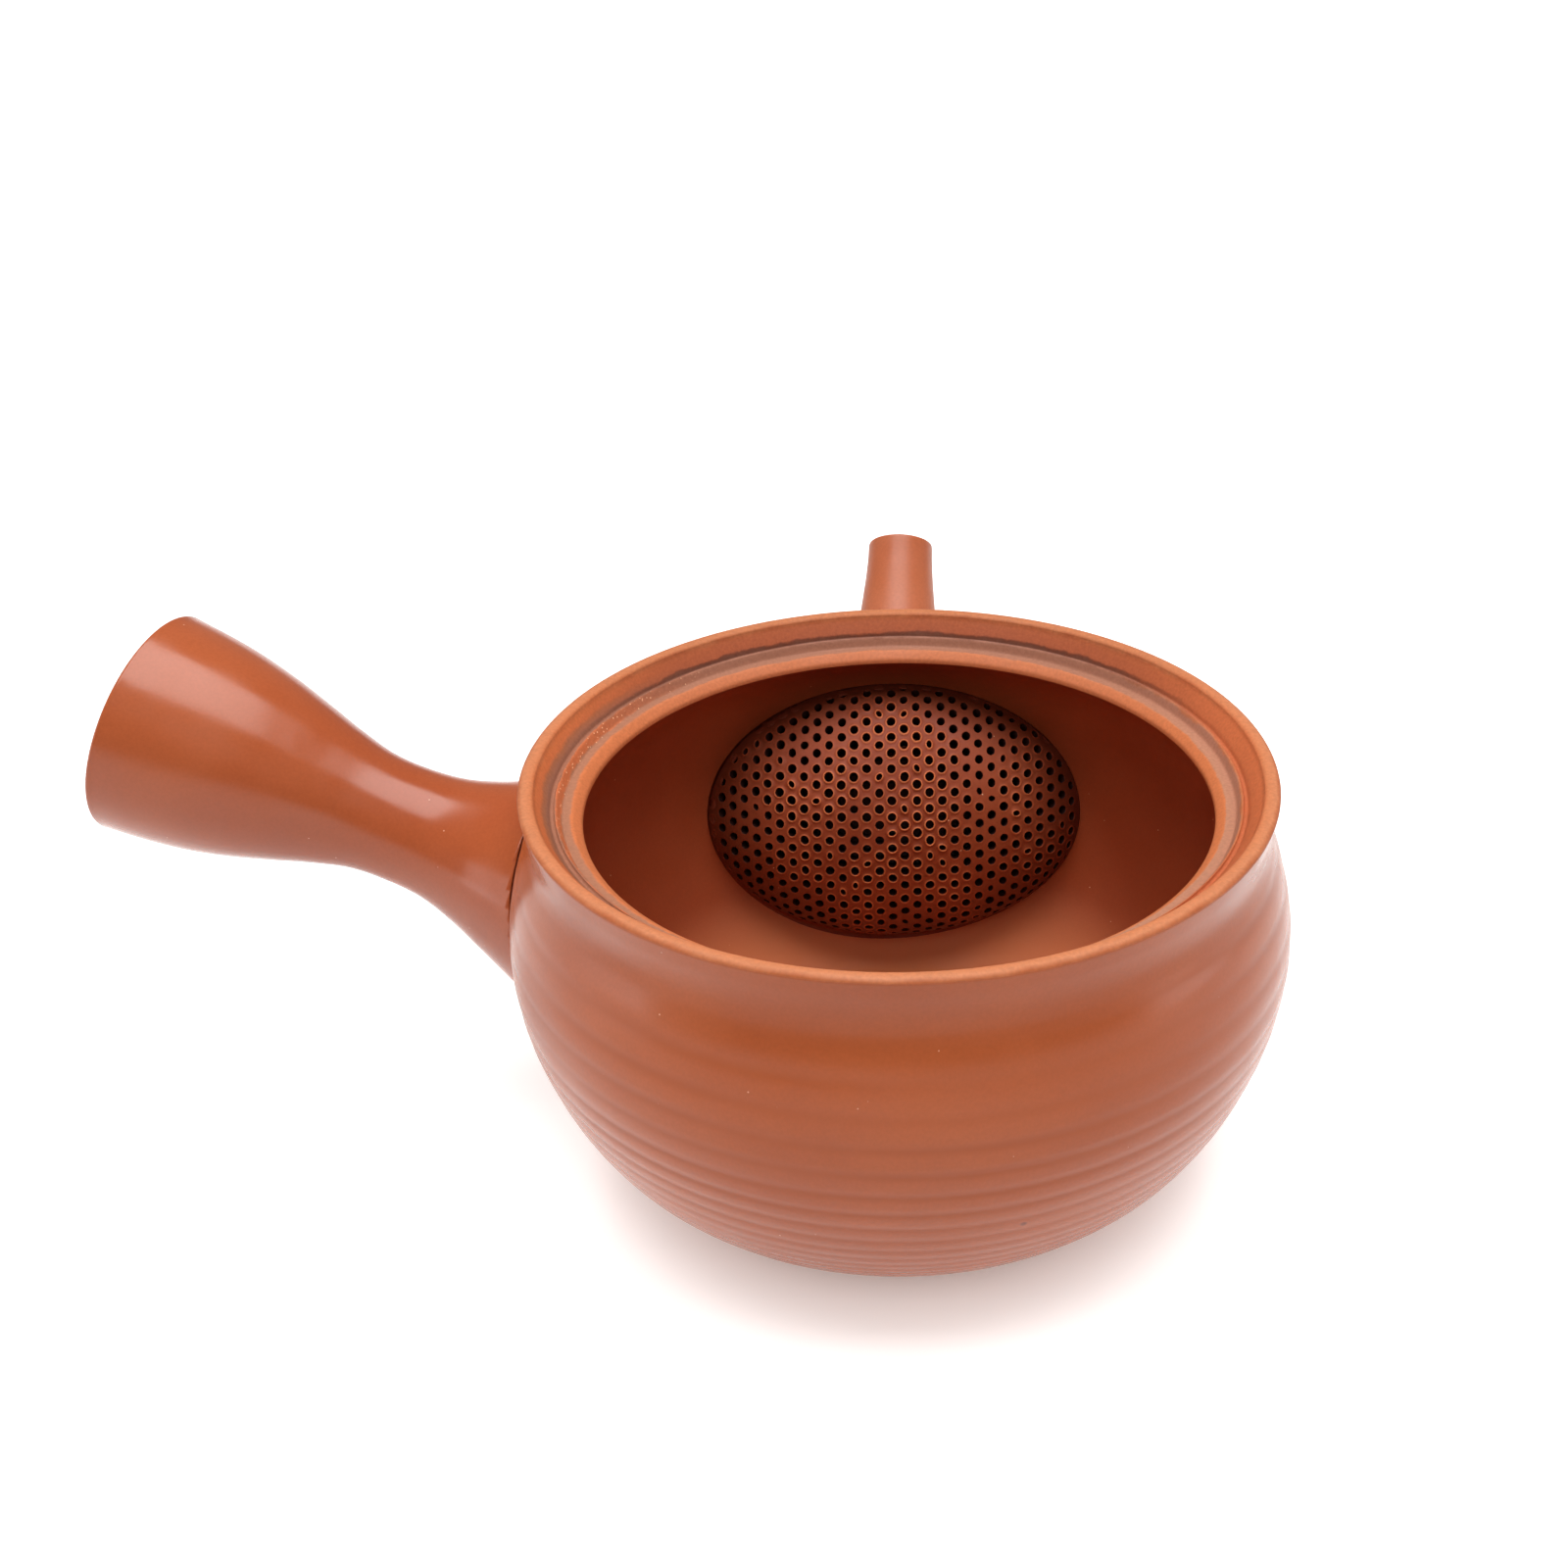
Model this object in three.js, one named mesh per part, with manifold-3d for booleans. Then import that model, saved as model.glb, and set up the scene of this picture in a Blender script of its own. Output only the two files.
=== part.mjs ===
import * as THREE from 'three';
import { mergeVertices } from 'three/addons/utils/BufferGeometryUtils.js';
import Module from 'manifold-3d';

// Side-handled teapot of unglazed, burnished red clay, open at the top.
// Lengths are in millimetres and angles in degrees. The origin is the middle of the base on the
// table, +Z is up, +Y points towards the spout and the handle leaves towards -X.

const wasm = await Module();
wasm.setup();

// Bowl
const bodyHeight = 61;
const footRadius = 29.5;
const bellyRadius = 53.5;
const bellyHeight = 36;
const neckRadius = 49.3;
const neckDrop = 6;
const rimRadius = 50;
const rimWidth = 2;
const wallThickness = 3;
const floorThickness = 3.6;

// Inside the rim: a narrow upper ledge, a steep step and the flat seat for a lid below it
const ledgeRadius = 46.2;
const ledgeDrop = 3;
const stepRadius = 45.3;
const seatRadius = 44.6;
const seatDrop = 4.4;
const seatThickness = 2.6;
const mouthRadius = 42.1;
const mouthRounding = 1.2;

// Luted joints: a film of dried slip between two clay faces
const jointGap = 0.3;
const slipThickness = 0.6;
const slipInset = 0.25;

// Handle, a hollow trumpet that is open at its far end
const handleAzimuth = 169.9;
const handleElevation = 19;
const handleRootRise = 2.3;
const handleLength = 59.2;
const handleRootDepth = 13.6;
const handleRootRadius = 17.2;
const handleWaistRadius = 8.6;
const handleEndRadius = 16.3;
const handleWall = 2.6;
const handleSag = 0.94;

// Spout
const spoutAzimuth = 86;
const spoutElevation = 47;
const spoutRootRise = 4.7;
const spoutSideOffset = -0.7;
const spoutLength = 29.5;
const spoutRootDepth = 20;
const spoutRootRadius = 12;
const spoutTipRadius = 5.4;
const spoutRootWall = 2.8;
const spoutTipWall = 1.3;
const inletRadius = 6;

// Strainer, a pierced dome over the inlet of the spout
const strainerHalfWidth = 31.9;
const strainerHalfHeight = 21.3;
const strainerDepth = 20;
const strainerWall = 1.6;
const strainerTilt = 25;
const strainerInset = 5.5;
const strainerDrop = 13.3;
const strainerSideOffset = -1.1;
const holeRadius = 0.65;
const rowPitch = 2.33;
const columnPitch = 1.95;
const holeMargin = 0.9;

const cutOverrun = 4;
const bowlSides = 40;
const handleSides = 24;
const spoutSides = 20;
const inletSides = 20;
const shellSides = 24;
const lipSteps = 4;

// Outlines as shares: height first, then how far the radius has moved to its next named value
const lowerBowlShares = [
  [0.011, 0.042], [0.042, 0.125], [0.097, 0.258], [0.167, 0.388], [0.25, 0.521],
  [0.333, 0.638], [0.417, 0.733], [0.556, 0.842], [0.694, 0.917], [0.833, 0.971], [1, 1],
];
const upperBowlShares = [
  [0.158, 0.02], [0.29, 0.071], [0.421, 0.186], [0.553, 0.345], [0.711, 0.571], [0.842, 0.798],
  [0.921, 0.929], [1, 1],
];
const collarShares = [[0.32, 0.14], [0.65, 0.6]];
const undersideShares = [[0.16, 0.34], [0.42, 0.66], [0.71, 0.87]];
const handleRootShares = [
  [0, 0], [0.069, 0.012], [0.125, 0.093], [0.166, 0.233], [0.225, 0.453], [0.302, 0.733],
  [0.38, 0.936], [0.458, 1],
];
const handleEndShares = [
  [0.535, 0.032], [0.61, 0.208], [0.689, 0.442], [0.767, 0.662], [0.845, 0.831], [0.922, 0.935],
  [1, 1],
];
const spoutShares = [
  [0, 0], [0.22, 0.06], [0.34, 0.2], [0.44, 0.41], [0.55, 0.62], [0.67, 0.78], [0.79, 0.89],
  [0.92, 0.98], [1, 1],
];

// The holes run parallel to the dome's axis up to this share of its half width, then turn
const parallelShare = 0.85;
const rowBend = 0.6;
const domeReach = 112;

const radians = THREE.MathUtils.degToRad;
const point = (radius, height) => new THREE.Vector2(radius, height);
const mix = THREE.MathUtils.lerp;

// Points of a half circle that rolls an outer edge over to an inner one
function rolledEdge(outerRadius, innerRadius, height) {
  const middle = (outerRadius + innerRadius) / 2;
  const size = (outerRadius - innerRadius) / 2;
  return Array.from({ length: lipSteps + 1 }, (_, step) => {
    const angle = Math.PI * step / lipSteps;
    return point(middle + size * Math.cos(angle), height + size * Math.sin(angle));
  });
}

// Moves a path to its right by a distance, which is outwards on a path drawn upwards
function offsetPath(path, distance) {
  return path.map((here, index) => {
    const before = path[Math.max(index - 1, 0)];
    const after = path[Math.min(index + 1, path.length - 1)];
    const along = after.clone().sub(before).normalize();
    return point(here.x + along.y * distance, here.y - along.x * distance);
  });
}

function lowerBowl() {
  return lowerBowlShares.map(([rise, widening]) =>
    point(mix(footRadius, bellyRadius, widening), bellyHeight * rise));
}

function upperBowl() {
  return upperBowlShares.map(([rise, narrowing]) =>
    point(mix(bellyRadius, neckRadius, narrowing), mix(bellyHeight, bodyHeight - neckDrop, rise)));
}

const rimRollHeight = bodyHeight - rimWidth / 2;

// Outside of the bowl, from the edge of the foot up to the widest point of the rim
function outsidePath() {
  const neckHeight = bodyHeight - neckDrop;
  const collar = collarShares.map(([rise, widening]) =>
    point(mix(neckRadius, rimRadius, widening), mix(neckHeight, rimRollHeight, rise)));
  return [point(footRadius, 0), ...lowerBowl(), ...upperBowl(), ...collar,
    point(rimRadius, rimRollHeight)];
}

// Inside of the bowl, from the underside of the seat down to the edge of the floor
function insidePath() {
  const wall = offsetPath([...lowerBowl(), ...upperBowl().slice(0, 4)], -wallThickness)
    .filter((here) => here.y > floorThickness)
    .reverse();
  const lip = point(mouthRadius, bodyHeight - seatDrop - seatThickness);
  const underside = undersideShares.map(([drop, widening]) =>
    point(mix(lip.x, wall[0].x, widening), mix(lip.y, wall[0].y, drop)));
  return [lip, ...underside, ...wall, point(footRadius, floorThickness)];
}

// Upper ledge, step, flat seat and the rounded edge of the mouth, going inwards and down
function seatPath() {
  const ledgeHeight = bodyHeight - ledgeDrop;
  const seatHeight = bodyHeight - seatDrop;
  const edge = Array.from({ length: lipSteps }, (_, step) => {
    const angle = Math.PI / 2 * step / (lipSteps - 1);
    return point(mouthRadius + mouthRounding * (1 - Math.sin(angle)),
      seatHeight - mouthRounding * (1 - Math.cos(angle)));
  });
  return [point(ledgeRadius, ledgeHeight), point(stepRadius, ledgeHeight),
    point(seatRadius, seatHeight), ...edge];
}

const outside = outsidePath();
const inside = insidePath();

// Turns a lathe or other closed shape into a solid, without its doubled vertices
function solid(geometry) {
  geometry.deleteAttribute('normal');
  geometry.deleteAttribute('uv');
  const merged = mergeVertices(geometry);
  const corners = merged.index.array;
  const triangles = [];
  for (let first = 0; first < corners.length; first += 3) {
    const [a, b, c] = corners.slice(first, first + 3);
    if (a !== b && b !== c && c !== a) triangles.push(a, b, c);
  }
  return new wasm.Manifold(new wasm.Mesh({
    numProp: 3,
    vertProperties: merged.attributes.position.array,
    triVerts: Uint32Array.from(triangles),
  }));
}

// Turns a solid back into a named mesh of the given clay colour
function piece(name, body, color, roughness) {
  const result = body.getMesh();
  const geometry = new THREE.BufferGeometry();
  geometry.setAttribute('position', new THREE.BufferAttribute(result.vertProperties, 3));
  geometry.setIndex(new THREE.BufferAttribute(result.triVerts, 1));
  geometry.computeVertexNormals();
  const clay = new THREE.MeshStandardMaterial({ color, roughness, metalness: 0 });
  const mesh = new THREE.Mesh(geometry, clay);
  mesh.name = name;
  return mesh;
}

// Lathe about the pot's upright axis
function uprightLathe(path) {
  return solid(new THREE.LatheGeometry(path, bowlSides).rotateX(Math.PI / 2));
}

// Everything within a distance outside the bowl's outer skin
function filledBowl(distance) {
  const skin = offsetPath(outside, distance);
  const top = skin[skin.length - 1].y;
  return uprightLathe([point(0, skin[0].y), ...skin, point(0, top)]);
}

// The space inside the bowl, kept a distance away from its wall, floor and ledge
function bowlSpace(distance) {
  const skin = offsetPath([...inside].reverse(), -distance);
  return uprightLathe([point(0, skin[0].y), ...skin, point(0, skin[skin.length - 1].y)]);
}

function direction(azimuth, elevation) {
  const level = Math.cos(radians(elevation));
  return new THREE.Vector3(level * Math.cos(radians(azimuth)), level * Math.sin(radians(azimuth)),
    Math.sin(radians(elevation)));
}

const handleDirection = direction(handleAzimuth, handleElevation);
const spoutDirection = direction(spoutAzimuth, spoutElevation);
const handleRoot = direction(handleAzimuth, 0).multiplyScalar(bellyRadius)
  .setZ(bellyHeight + handleRootRise);
const spoutRoot = new THREE.Vector3(spoutSideOffset, bellyRadius, bellyHeight + spoutRootRise);

// Lathe about a slanted axis that starts a depth behind a root point
function slantedLathe(path, sides, root, axis, depth) {
  const turn = new THREE.Quaternion().setFromUnitVectors(new THREE.Vector3(0, 1, 0), axis);
  const start = root.clone().addScaledVector(axis, -depth);
  const geometry = new THREE.LatheGeometry(path, sides);
  geometry.applyQuaternion(turn).translate(start.x, start.y, start.z);
  return geometry;
}

function handleOutline() {
  const whole = handleRootDepth + handleLength;
  const root = handleRootShares.map(([along, narrowing]) =>
    point(mix(handleRootRadius, handleWaistRadius, narrowing), whole * along));
  const end = handleEndShares.map(([along, widening]) =>
    point(mix(handleWaistRadius, handleEndRadius, widening), whole * along));
  return [...root, ...end];
}

// Closed section of a tube: its outside, a rolled end and its bore back to the start
function tubeSection(outer, bore) {
  const outerEnd = outer[outer.length - 1];
  const boreEnd = bore[bore.length - 1];
  const height = outerEnd.y - (outerEnd.x - boreEnd.x) / 2;
  const edge = rolledEdge(outerEnd.x, boreEnd.x, height);
  return [...outer.slice(0, -1), ...edge, ...bore.slice(0, -1).reverse(), outer[0]];
}

// Lets the middle of the handle hang a little below the straight line of its axis
function sagHandle(geometry) {
  const places = geometry.attributes.position;
  const place = new THREE.Vector3();
  for (let index = 0; index < places.count; index += 1) {
    place.fromBufferAttribute(places, index);
    const along = place.clone().sub(handleRoot).dot(handleDirection);
    const share = (along + handleRootDepth) / (handleLength + handleRootDepth);
    places.setZ(index, place.z - 4 * handleSag * share * (1 - share));
  }
  return geometry;
}

function handleTube(inset) {
  const outer = handleOutline();
  const bore = outer.map((here) => point(here.x - handleWall, here.y));
  const skin = outer.map((here) => point(here.x - inset, here.y));
  const section = tubeSection(skin, bore);
  return solid(sagHandle(slantedLathe(section, handleSides, handleRoot, handleDirection,
    handleRootDepth)));
}

function spoutTube(inset) {
  const whole = spoutRootDepth + spoutLength;
  const outer = spoutShares.map(([along, narrowing]) =>
    point(mix(spoutRootRadius, spoutTipRadius, narrowing) - inset, whole * along));
  const rootBore = spoutRootRadius - spoutRootWall;
  const tipBore = spoutTipRadius - spoutTipWall;
  const bore = spoutShares.map(([along, narrowing]) =>
    point(mix(rootBore, tipBore, narrowing), whole * along));
  return solid(slantedLathe(tubeSection(outer, bore), spoutSides, spoutRoot, spoutDirection,
    spoutRootDepth));
}

// Body, one thrown bowl with a hole through its wall behind the spout
function makeBody() {
  const rim = rolledEdge(rimRadius, rimRadius - rimWidth, rimRollHeight);
  const bowl = uprightLathe([point(0, 0), ...outside.slice(0, -1), ...rim, ...seatPath(), ...inside,
    point(0, floorThickness)]);
  const wallMiddle = wallThickness / 2;
  const cut = wallThickness + 2 * cutOverrun;
  const inlet = new THREE.CylinderGeometry(inletRadius, inletRadius, cut, inletSides);
  const drop = wallMiddle * Math.tan(radians(spoutElevation));
  inlet.translate(spoutRoot.x, spoutRoot.y - wallMiddle, spoutRoot.z - drop);
  return bowl.subtract(solid(inlet));
}

function makeHandle() {
  return handleTube(0).subtract(filledBowl(2 * jointGap + slipThickness));
}

function makeSpout() {
  return spoutTube(0).subtract(filledBowl(2 * jointGap + slipThickness));
}

// Slip between a tube's root and the bowl's outer skin
function makeOuterSlip(tube) {
  const film = filledBowl(jointGap + slipThickness).subtract(filledBowl(jointGap));
  return tube(slipInset).intersect(film);
}

// Frame of the dome: across, up along its face, and out of its face into the bowl
const domeCentre = new THREE.Vector3(strainerSideOffset, bellyRadius - wallThickness - strainerInset,
  spoutRoot.z - strainerDrop);
const domeAcross = new THREE.Vector3(1, 0, 0);
const domeOut = direction(-90, strainerTilt);
const domeUp = domeOut.clone().cross(domeAcross);

// A point of the dome's outer or inner skin, over a place on the flat pattern of holes
function domePoint(across, up, depth) {
  const share = new THREE.Vector2(across / strainerHalfWidth,
    Math.sin(rowBend * up / strainerHalfHeight) / Math.sin(rowBend));
  const reach = share.length();
  const edgeAngle = Math.asin(parallelShare);
  const turn = reach < parallelShare
    ? Math.asin(reach)
    : edgeAngle + (reach - parallelShare) / Math.cos(edgeAngle);
  const side = share.normalize().multiplyScalar(Math.sin(turn));
  const local = new THREE.Vector3(side.x, side.y, Math.cos(turn));
  const normal = new THREE.Vector3(local.x / strainerHalfWidth, local.y / strainerHalfHeight,
    local.z / strainerDepth).normalize();
  const place = new THREE.Vector3(local.x * strainerHalfWidth, local.y * strainerHalfHeight,
    local.z * strainerDepth).addScaledVector(normal, -depth);
  const world = domeCentre.clone()
    .addScaledVector(domeAcross, place.x)
    .addScaledVector(domeUp, place.y)
    .addScaledVector(domeOut, place.z);
  return { world, turn };
}

// Radius of the bowl's inner wall at a height
function insideRadius(height) {
  const lower = inside.findIndex((here) => here.y <= height);
  if (lower < 1) return lower === 0 ? inside[0].x : 0;
  const above = inside[lower - 1];
  const below = inside[lower];
  return mix(below.x, above.x, (height - below.y) / (above.y - below.y));
}

// Whether a hole at a place of the pattern stays clear of the dome's edge
function holeFits(across, up) {
  const clear = 2 * jointGap + slipThickness + holeMargin;
  return Array.from({ length: 4 }, (_, corner) => {
    const angle = Math.PI / 2 * corner;
    const place = domePoint(across + holeRadius * Math.cos(angle), up + holeRadius * Math.sin(angle), 0);
    const radius = Math.hypot(place.world.x, place.world.y);
    return place.turn < Math.PI / 2 && radius < insideRadius(place.world.z) - clear;
  }).every(Boolean);
}

// One cell of the pattern: right, top, left and bottom corners of a hole, or one shared corner
function makeCell(column, row, corners) {
  const across = column * columnPitch;
  const up = (row + (column % 2 === 0 ? 0 : 0.5)) * rowPitch;
  const middle = domePoint(across, up, 0);
  if (middle.turn > radians(domeReach)) return null;
  const open = holeFits(across, up);
  return Array.from({ length: 4 }, (_, corner) => {
    if (!open && corner > 0) return corners.length - 1;
    const angle = Math.PI / 2 * corner;
    const reach = open ? holeRadius : 0;
    const place = [across + reach * Math.cos(angle), up + reach * Math.sin(angle)];
    return corners.push(place) - 1;
  });
}

// Triangles of the face between the holes, and the rings of its holes
function domeFace() {
  const corners = [];
  const columns = Math.ceil(2 * strainerHalfWidth / columnPitch);
  const rows = Math.ceil(3 * strainerHalfHeight / rowPitch);
  const cells = new Map();
  for (let column = -columns; column <= columns; column += 1) {
    for (let row = -rows; row <= rows; row += 1) {
      const ring = makeCell(column, row, corners);
      if (ring) cells.set(`${column},${row}`, ring);
    }
  }
  const faces = [];
  const addFace = (...ids) => {
    if (new Set(ids).size === 3) faces.push(ids);
  };
  const addStrip = (a, b, c, d) => {
    addFace(a, b, c);
    addFace(a, c, d);
  };
  for (const [key, [right, top, , bottom]] of cells) {
    const [column, row] = key.split(',').map(Number);
    const step = column % 2 === 0 ? 0 : 1;
    const above = cells.get(`${column},${row + 1}`);
    const rightAbove = cells.get(`${column + 1},${row + step}`);
    const rightBelow = cells.get(`${column + 1},${row + step - 1}`);
    const leftAbove = cells.get(`${column - 1},${row + step}`);
    if (rightAbove) addStrip(right, rightAbove[3], rightAbove[2], top);
    if (rightBelow) addStrip(bottom, rightBelow[2], rightBelow[1], right);
    if (above && rightAbove) addFace(top, rightAbove[2], above[3]);
    if (above && leftAbove) addFace(top, above[3], leftAbove[0]);
  }
  return { corners, faces };
}

// The pierced shell: the face, its copy on the inner skin, and walls round holes and border
function piercedShell() {
  const { corners, faces } = domeFace();
  const outer = corners.map(([across, up]) => domePoint(across, up, 0).world);
  const inner = corners.map(([across, up]) => domePoint(across, up, strainerWall).world);
  const count = corners.length;
  const directed = new Set(faces.flatMap(([a, b, c]) => [`${a},${b}`, `${b},${c}`, `${c},${a}`]));
  const triangles = [];
  for (const [a, b, c] of faces) {
    triangles.push(a, b, c, a + count, c + count, b + count);
    for (const [from, to] of [[a, b], [b, c], [c, a]]) {
      if (directed.has(`${to},${from}`)) continue;
      triangles.push(to, from, from + count, to, from + count, to + count);
    }
  }
  const geometry = new THREE.BufferGeometry();
  const places = [...outer, ...inner].flatMap((place) => place.toArray());
  geometry.setAttribute('position', new THREE.Float32BufferAttribute(places, 3));
  geometry.setIndex(triangles);
  return solid(geometry);
}

function makeStrainer() {
  return piercedShell().intersect(bowlSpace(2 * jointGap + slipThickness));
}

// A plain shell of the dome's shape, for the slip under its edge
function plainShell() {
  const half = (thickness) => solid(new THREE.SphereGeometry(1, shellSides, shellSides / 2)
    .scale(strainerHalfWidth - thickness, strainerHalfHeight - thickness, strainerDepth - thickness)
    .applyMatrix4(new THREE.Matrix4().makeBasis(domeAcross, domeUp, domeOut))
    .translate(domeCentre.x, domeCentre.y, domeCentre.z));
  return half(slipInset).subtract(half(strainerWall));
}

function makeStrainerSlip() {
  const film = bowlSpace(jointGap).subtract(bowlSpace(jointGap + slipThickness));
  return plainShell().intersect(film);
}

const teapot = new THREE.Group();
teapot.add(
  piece('body', makeBody(), '#b7613f', 0.52),
  piece('handle', makeHandle(), '#b9603a', 0.42),
  piece('spout', makeSpout(), '#bf7350', 0.5),
  piece('strainer', makeStrainer(), '#93442d', 0.5),
  piece('handle_slip_joint', makeOuterSlip(handleTube), '#7c3a26', 0.8),
  piece('spout_slip_joint', makeOuterSlip(spoutTube), '#7c3a26', 0.8),
  piece('strainer_slip_joint', makeStrainerSlip(), '#7c3a26', 0.8),
);

export default teapot;
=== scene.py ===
"""Looks of a side-handled teapot of burnished red clay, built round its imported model."""

import logging
import math
import random
from dataclasses import dataclass
from enum import Enum
from typing import Iterable

import bmesh
import bpy
from bmesh.types import BMEdge, BMesh, BMVert
from bpy.types import Material, Node, NodeSocket, NodeTree, Object, World
from mathutils import Matrix, Vector, noise
from mathutils.geometry import interpolate_bezier


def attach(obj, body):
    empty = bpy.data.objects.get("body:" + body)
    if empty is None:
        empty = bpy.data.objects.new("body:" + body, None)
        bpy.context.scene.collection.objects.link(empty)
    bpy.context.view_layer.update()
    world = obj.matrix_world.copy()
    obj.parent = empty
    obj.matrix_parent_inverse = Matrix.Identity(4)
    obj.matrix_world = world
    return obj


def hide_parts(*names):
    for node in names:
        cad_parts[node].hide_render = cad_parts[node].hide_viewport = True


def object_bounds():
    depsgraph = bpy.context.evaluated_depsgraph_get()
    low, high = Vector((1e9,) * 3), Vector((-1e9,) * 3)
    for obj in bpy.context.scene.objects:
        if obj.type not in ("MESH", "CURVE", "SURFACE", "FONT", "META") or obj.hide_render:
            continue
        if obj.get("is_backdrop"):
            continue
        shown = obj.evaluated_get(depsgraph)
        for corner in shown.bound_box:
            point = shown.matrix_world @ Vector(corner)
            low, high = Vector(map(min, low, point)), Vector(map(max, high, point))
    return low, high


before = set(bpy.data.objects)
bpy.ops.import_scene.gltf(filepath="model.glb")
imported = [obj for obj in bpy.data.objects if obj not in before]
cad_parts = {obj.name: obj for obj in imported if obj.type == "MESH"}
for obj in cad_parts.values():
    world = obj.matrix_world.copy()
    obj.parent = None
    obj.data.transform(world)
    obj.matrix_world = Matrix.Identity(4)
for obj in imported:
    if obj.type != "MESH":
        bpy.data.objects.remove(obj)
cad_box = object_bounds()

log = logging.getLogger("teapot")

# Sizes in this script are millimetres and degrees, as in the part's source; Blender takes metres.
MM = 0.001
TURN = 2 * math.pi
MERGE = 0.002
ZONE = "zone"
# Name of the mesh layer of marks that draw painted light and shade
PAINTED_LIGHT = "painted_light"

# Sockets of the Mix node when it mixes colours
MIX_SHARE, MIX_FIRST, MIX_SECOND = 0, 6, 7

# Nearly all values of a noise texture lie between these two
NOISE_LOW, NOISE_HIGH = 0.3, 0.7

Share = tuple[float, float]
Outline = list[Vector]
Bands = tuple[tuple[float, str], ...]
Source = Node | NodeSocket


class Cut(Enum):
    """How one solid changes another."""

    AWAY = "DIFFERENCE"
    COMMON = "INTERSECT"


class Surface(Enum):
    """Which of the bowl's finishes a face takes, by its place in the bowl's material slots."""

    OUTSIDE = 0
    SEAT = 1
    INSIDE = 2


def mix(start: float, end: float, share: float) -> float:
    """Goes a share of the way from one number to another."""
    return start + (end - start) * share


def clamp(value: float) -> float:
    """Keeps a share between 0 and 1."""
    return min(1.0, max(0.0, value))


def ease(share: float) -> float:
    """Softens a share at both of its ends."""
    share = clamp(share)
    return share * share * (3 - 2 * share)


def direction(azimuth: float, elevation: float) -> Vector:
    """Unit vector at an azimuth, anticlockwise from +X, and an elevation above the level."""
    turn, rise = math.radians(azimuth), math.radians(elevation)
    return Vector((math.cos(rise) * math.cos(turn), math.cos(rise) * math.sin(turn),
                   math.sin(rise)))


def at(radius: float, height: float) -> Vector:
    """A point of an outline that is spun round the Z axis."""
    return Vector((radius, 0, height))


def arc(middle: Vector, size: float, start: float, end: float, steps: int) -> Outline:
    """Points of a circular arc in an outline, both ends included.

    Args:
        middle: Centre of the arc.
        size: Radius of the arc.
        start: First angle in degrees, from the outward level direction.
        end: Last angle in degrees.
        steps: How many pieces the arc has.

    Returns:
        The arc's points.
    """
    angles = [math.radians(mix(start, end, step / steps)) for step in range(steps + 1)]
    return [middle + at(size * math.cos(angle), size * math.sin(angle)) for angle in angles]


def smooth_curve(points: Outline, step: float) -> Outline:
    """Runs a smooth curve through the points of an outline.

    Args:
        points: The points it passes through.
        step: Wanted distance between the curve's own points.

    Returns:
        The curve's points, both ends included.
    """
    curve: Outline = []
    for index, (here, there) in enumerate(zip(points, points[1:])):
        before = points[max(index - 1, 0)]
        after = points[min(index + 2, len(points) - 1)]
        length = (there - here).length
        leave = here + (there - before).normalized() * length / 3
        arrive = there - (after - here).normalized() * length / 3
        count = max(2, math.ceil(length / step) + 1)
        curve += interpolate_bezier(here, leave, arrive, there, count)[:-1]
    return curve + [points[-1].copy()]


def bevelled(top: Vector, foot: Vector, size: float, leave: Vector) -> Outline:
    """A slope whose upper and lower edges are rounded.

    Args:
        top: Upper edge, which is reached along a level from outside.
        foot: Lower edge.
        size: Size of the roundings.
        leave: Unit direction in which the outline goes on from the lower edge.

    Returns:
        The slope's points, going down.
    """
    down = (foot - top).normalized() * size
    return smooth_curve([top + at(size, 0), top + down, foot - down, foot + leave * size], size)


def flare(start: float, end: float, length: float, shares: tuple[Share, ...]) -> Outline:
    """Part of a tube's outline, in which it goes from one radius to another.

    Args:
        start: The radius that it leaves.
        end: The radius that it reaches.
        length: Length of the whole tube.
        shares: Shares of that length, each with the share of the change that is done there.

    Returns:
        The points of that part.
    """
    return [at(mix(start, end, change), length * along) for along, change in shares]


def offset_outline(outline: Outline, distance: float) -> Outline:
    """Moves an outline that is drawn upwards away from the axis, square to itself.

    Args:
        outline: Its points.
        distance: How far they move.

    Returns:
        The moved points.
    """
    moved = []
    for index, here in enumerate(outline):
        along = outline[min(index + 1, len(outline) - 1)] - outline[max(index - 1, 0)]
        along.normalize()
        moved.append(here + Vector((along.z, 0, -along.x)) * distance)
    return moved


def spin_outline(outline: Outline, sides: int, closed: bool = False,
                 zones: Iterable[int] = ()) -> BMesh:
    """Spins an outline once round the Z axis into a shape of clay.

    Args:
        outline: Points in the XZ plane.
        sides: Steps of the full turn.
        closed: Whether the last point joins the first, as in a tube's section.
        zones: A number for each point, which the spun vertices keep in the layer named zone.

    Returns:
        The spun shape, without doubled vertices and with its faces outwards.
    """
    shape = bmesh.new()
    zone = shape.verts.layers.int.new(ZONE)
    shape.verts.layers.float.new(PAINTED_LIGHT)
    corners = [shape.verts.new(place) for place in outline]
    for corner, number in zip(corners, zones):
        corner[zone] = number
    followers = corners[1:] + (corners[:1] if closed else [])
    edges = [shape.edges.new(pair) for pair in zip(corners, followers)]
    bmesh.ops.spin(shape, geom=corners + edges, cent=(0, 0, 0), axis=(0, 0, 1), angle=TURN,
                   steps=sides, use_merge=True)
    bmesh.ops.remove_doubles(shape, verts=shape.verts, dist=MERGE)
    bmesh.ops.recalc_face_normals(shape, faces=shape.faces)
    return shape


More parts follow.
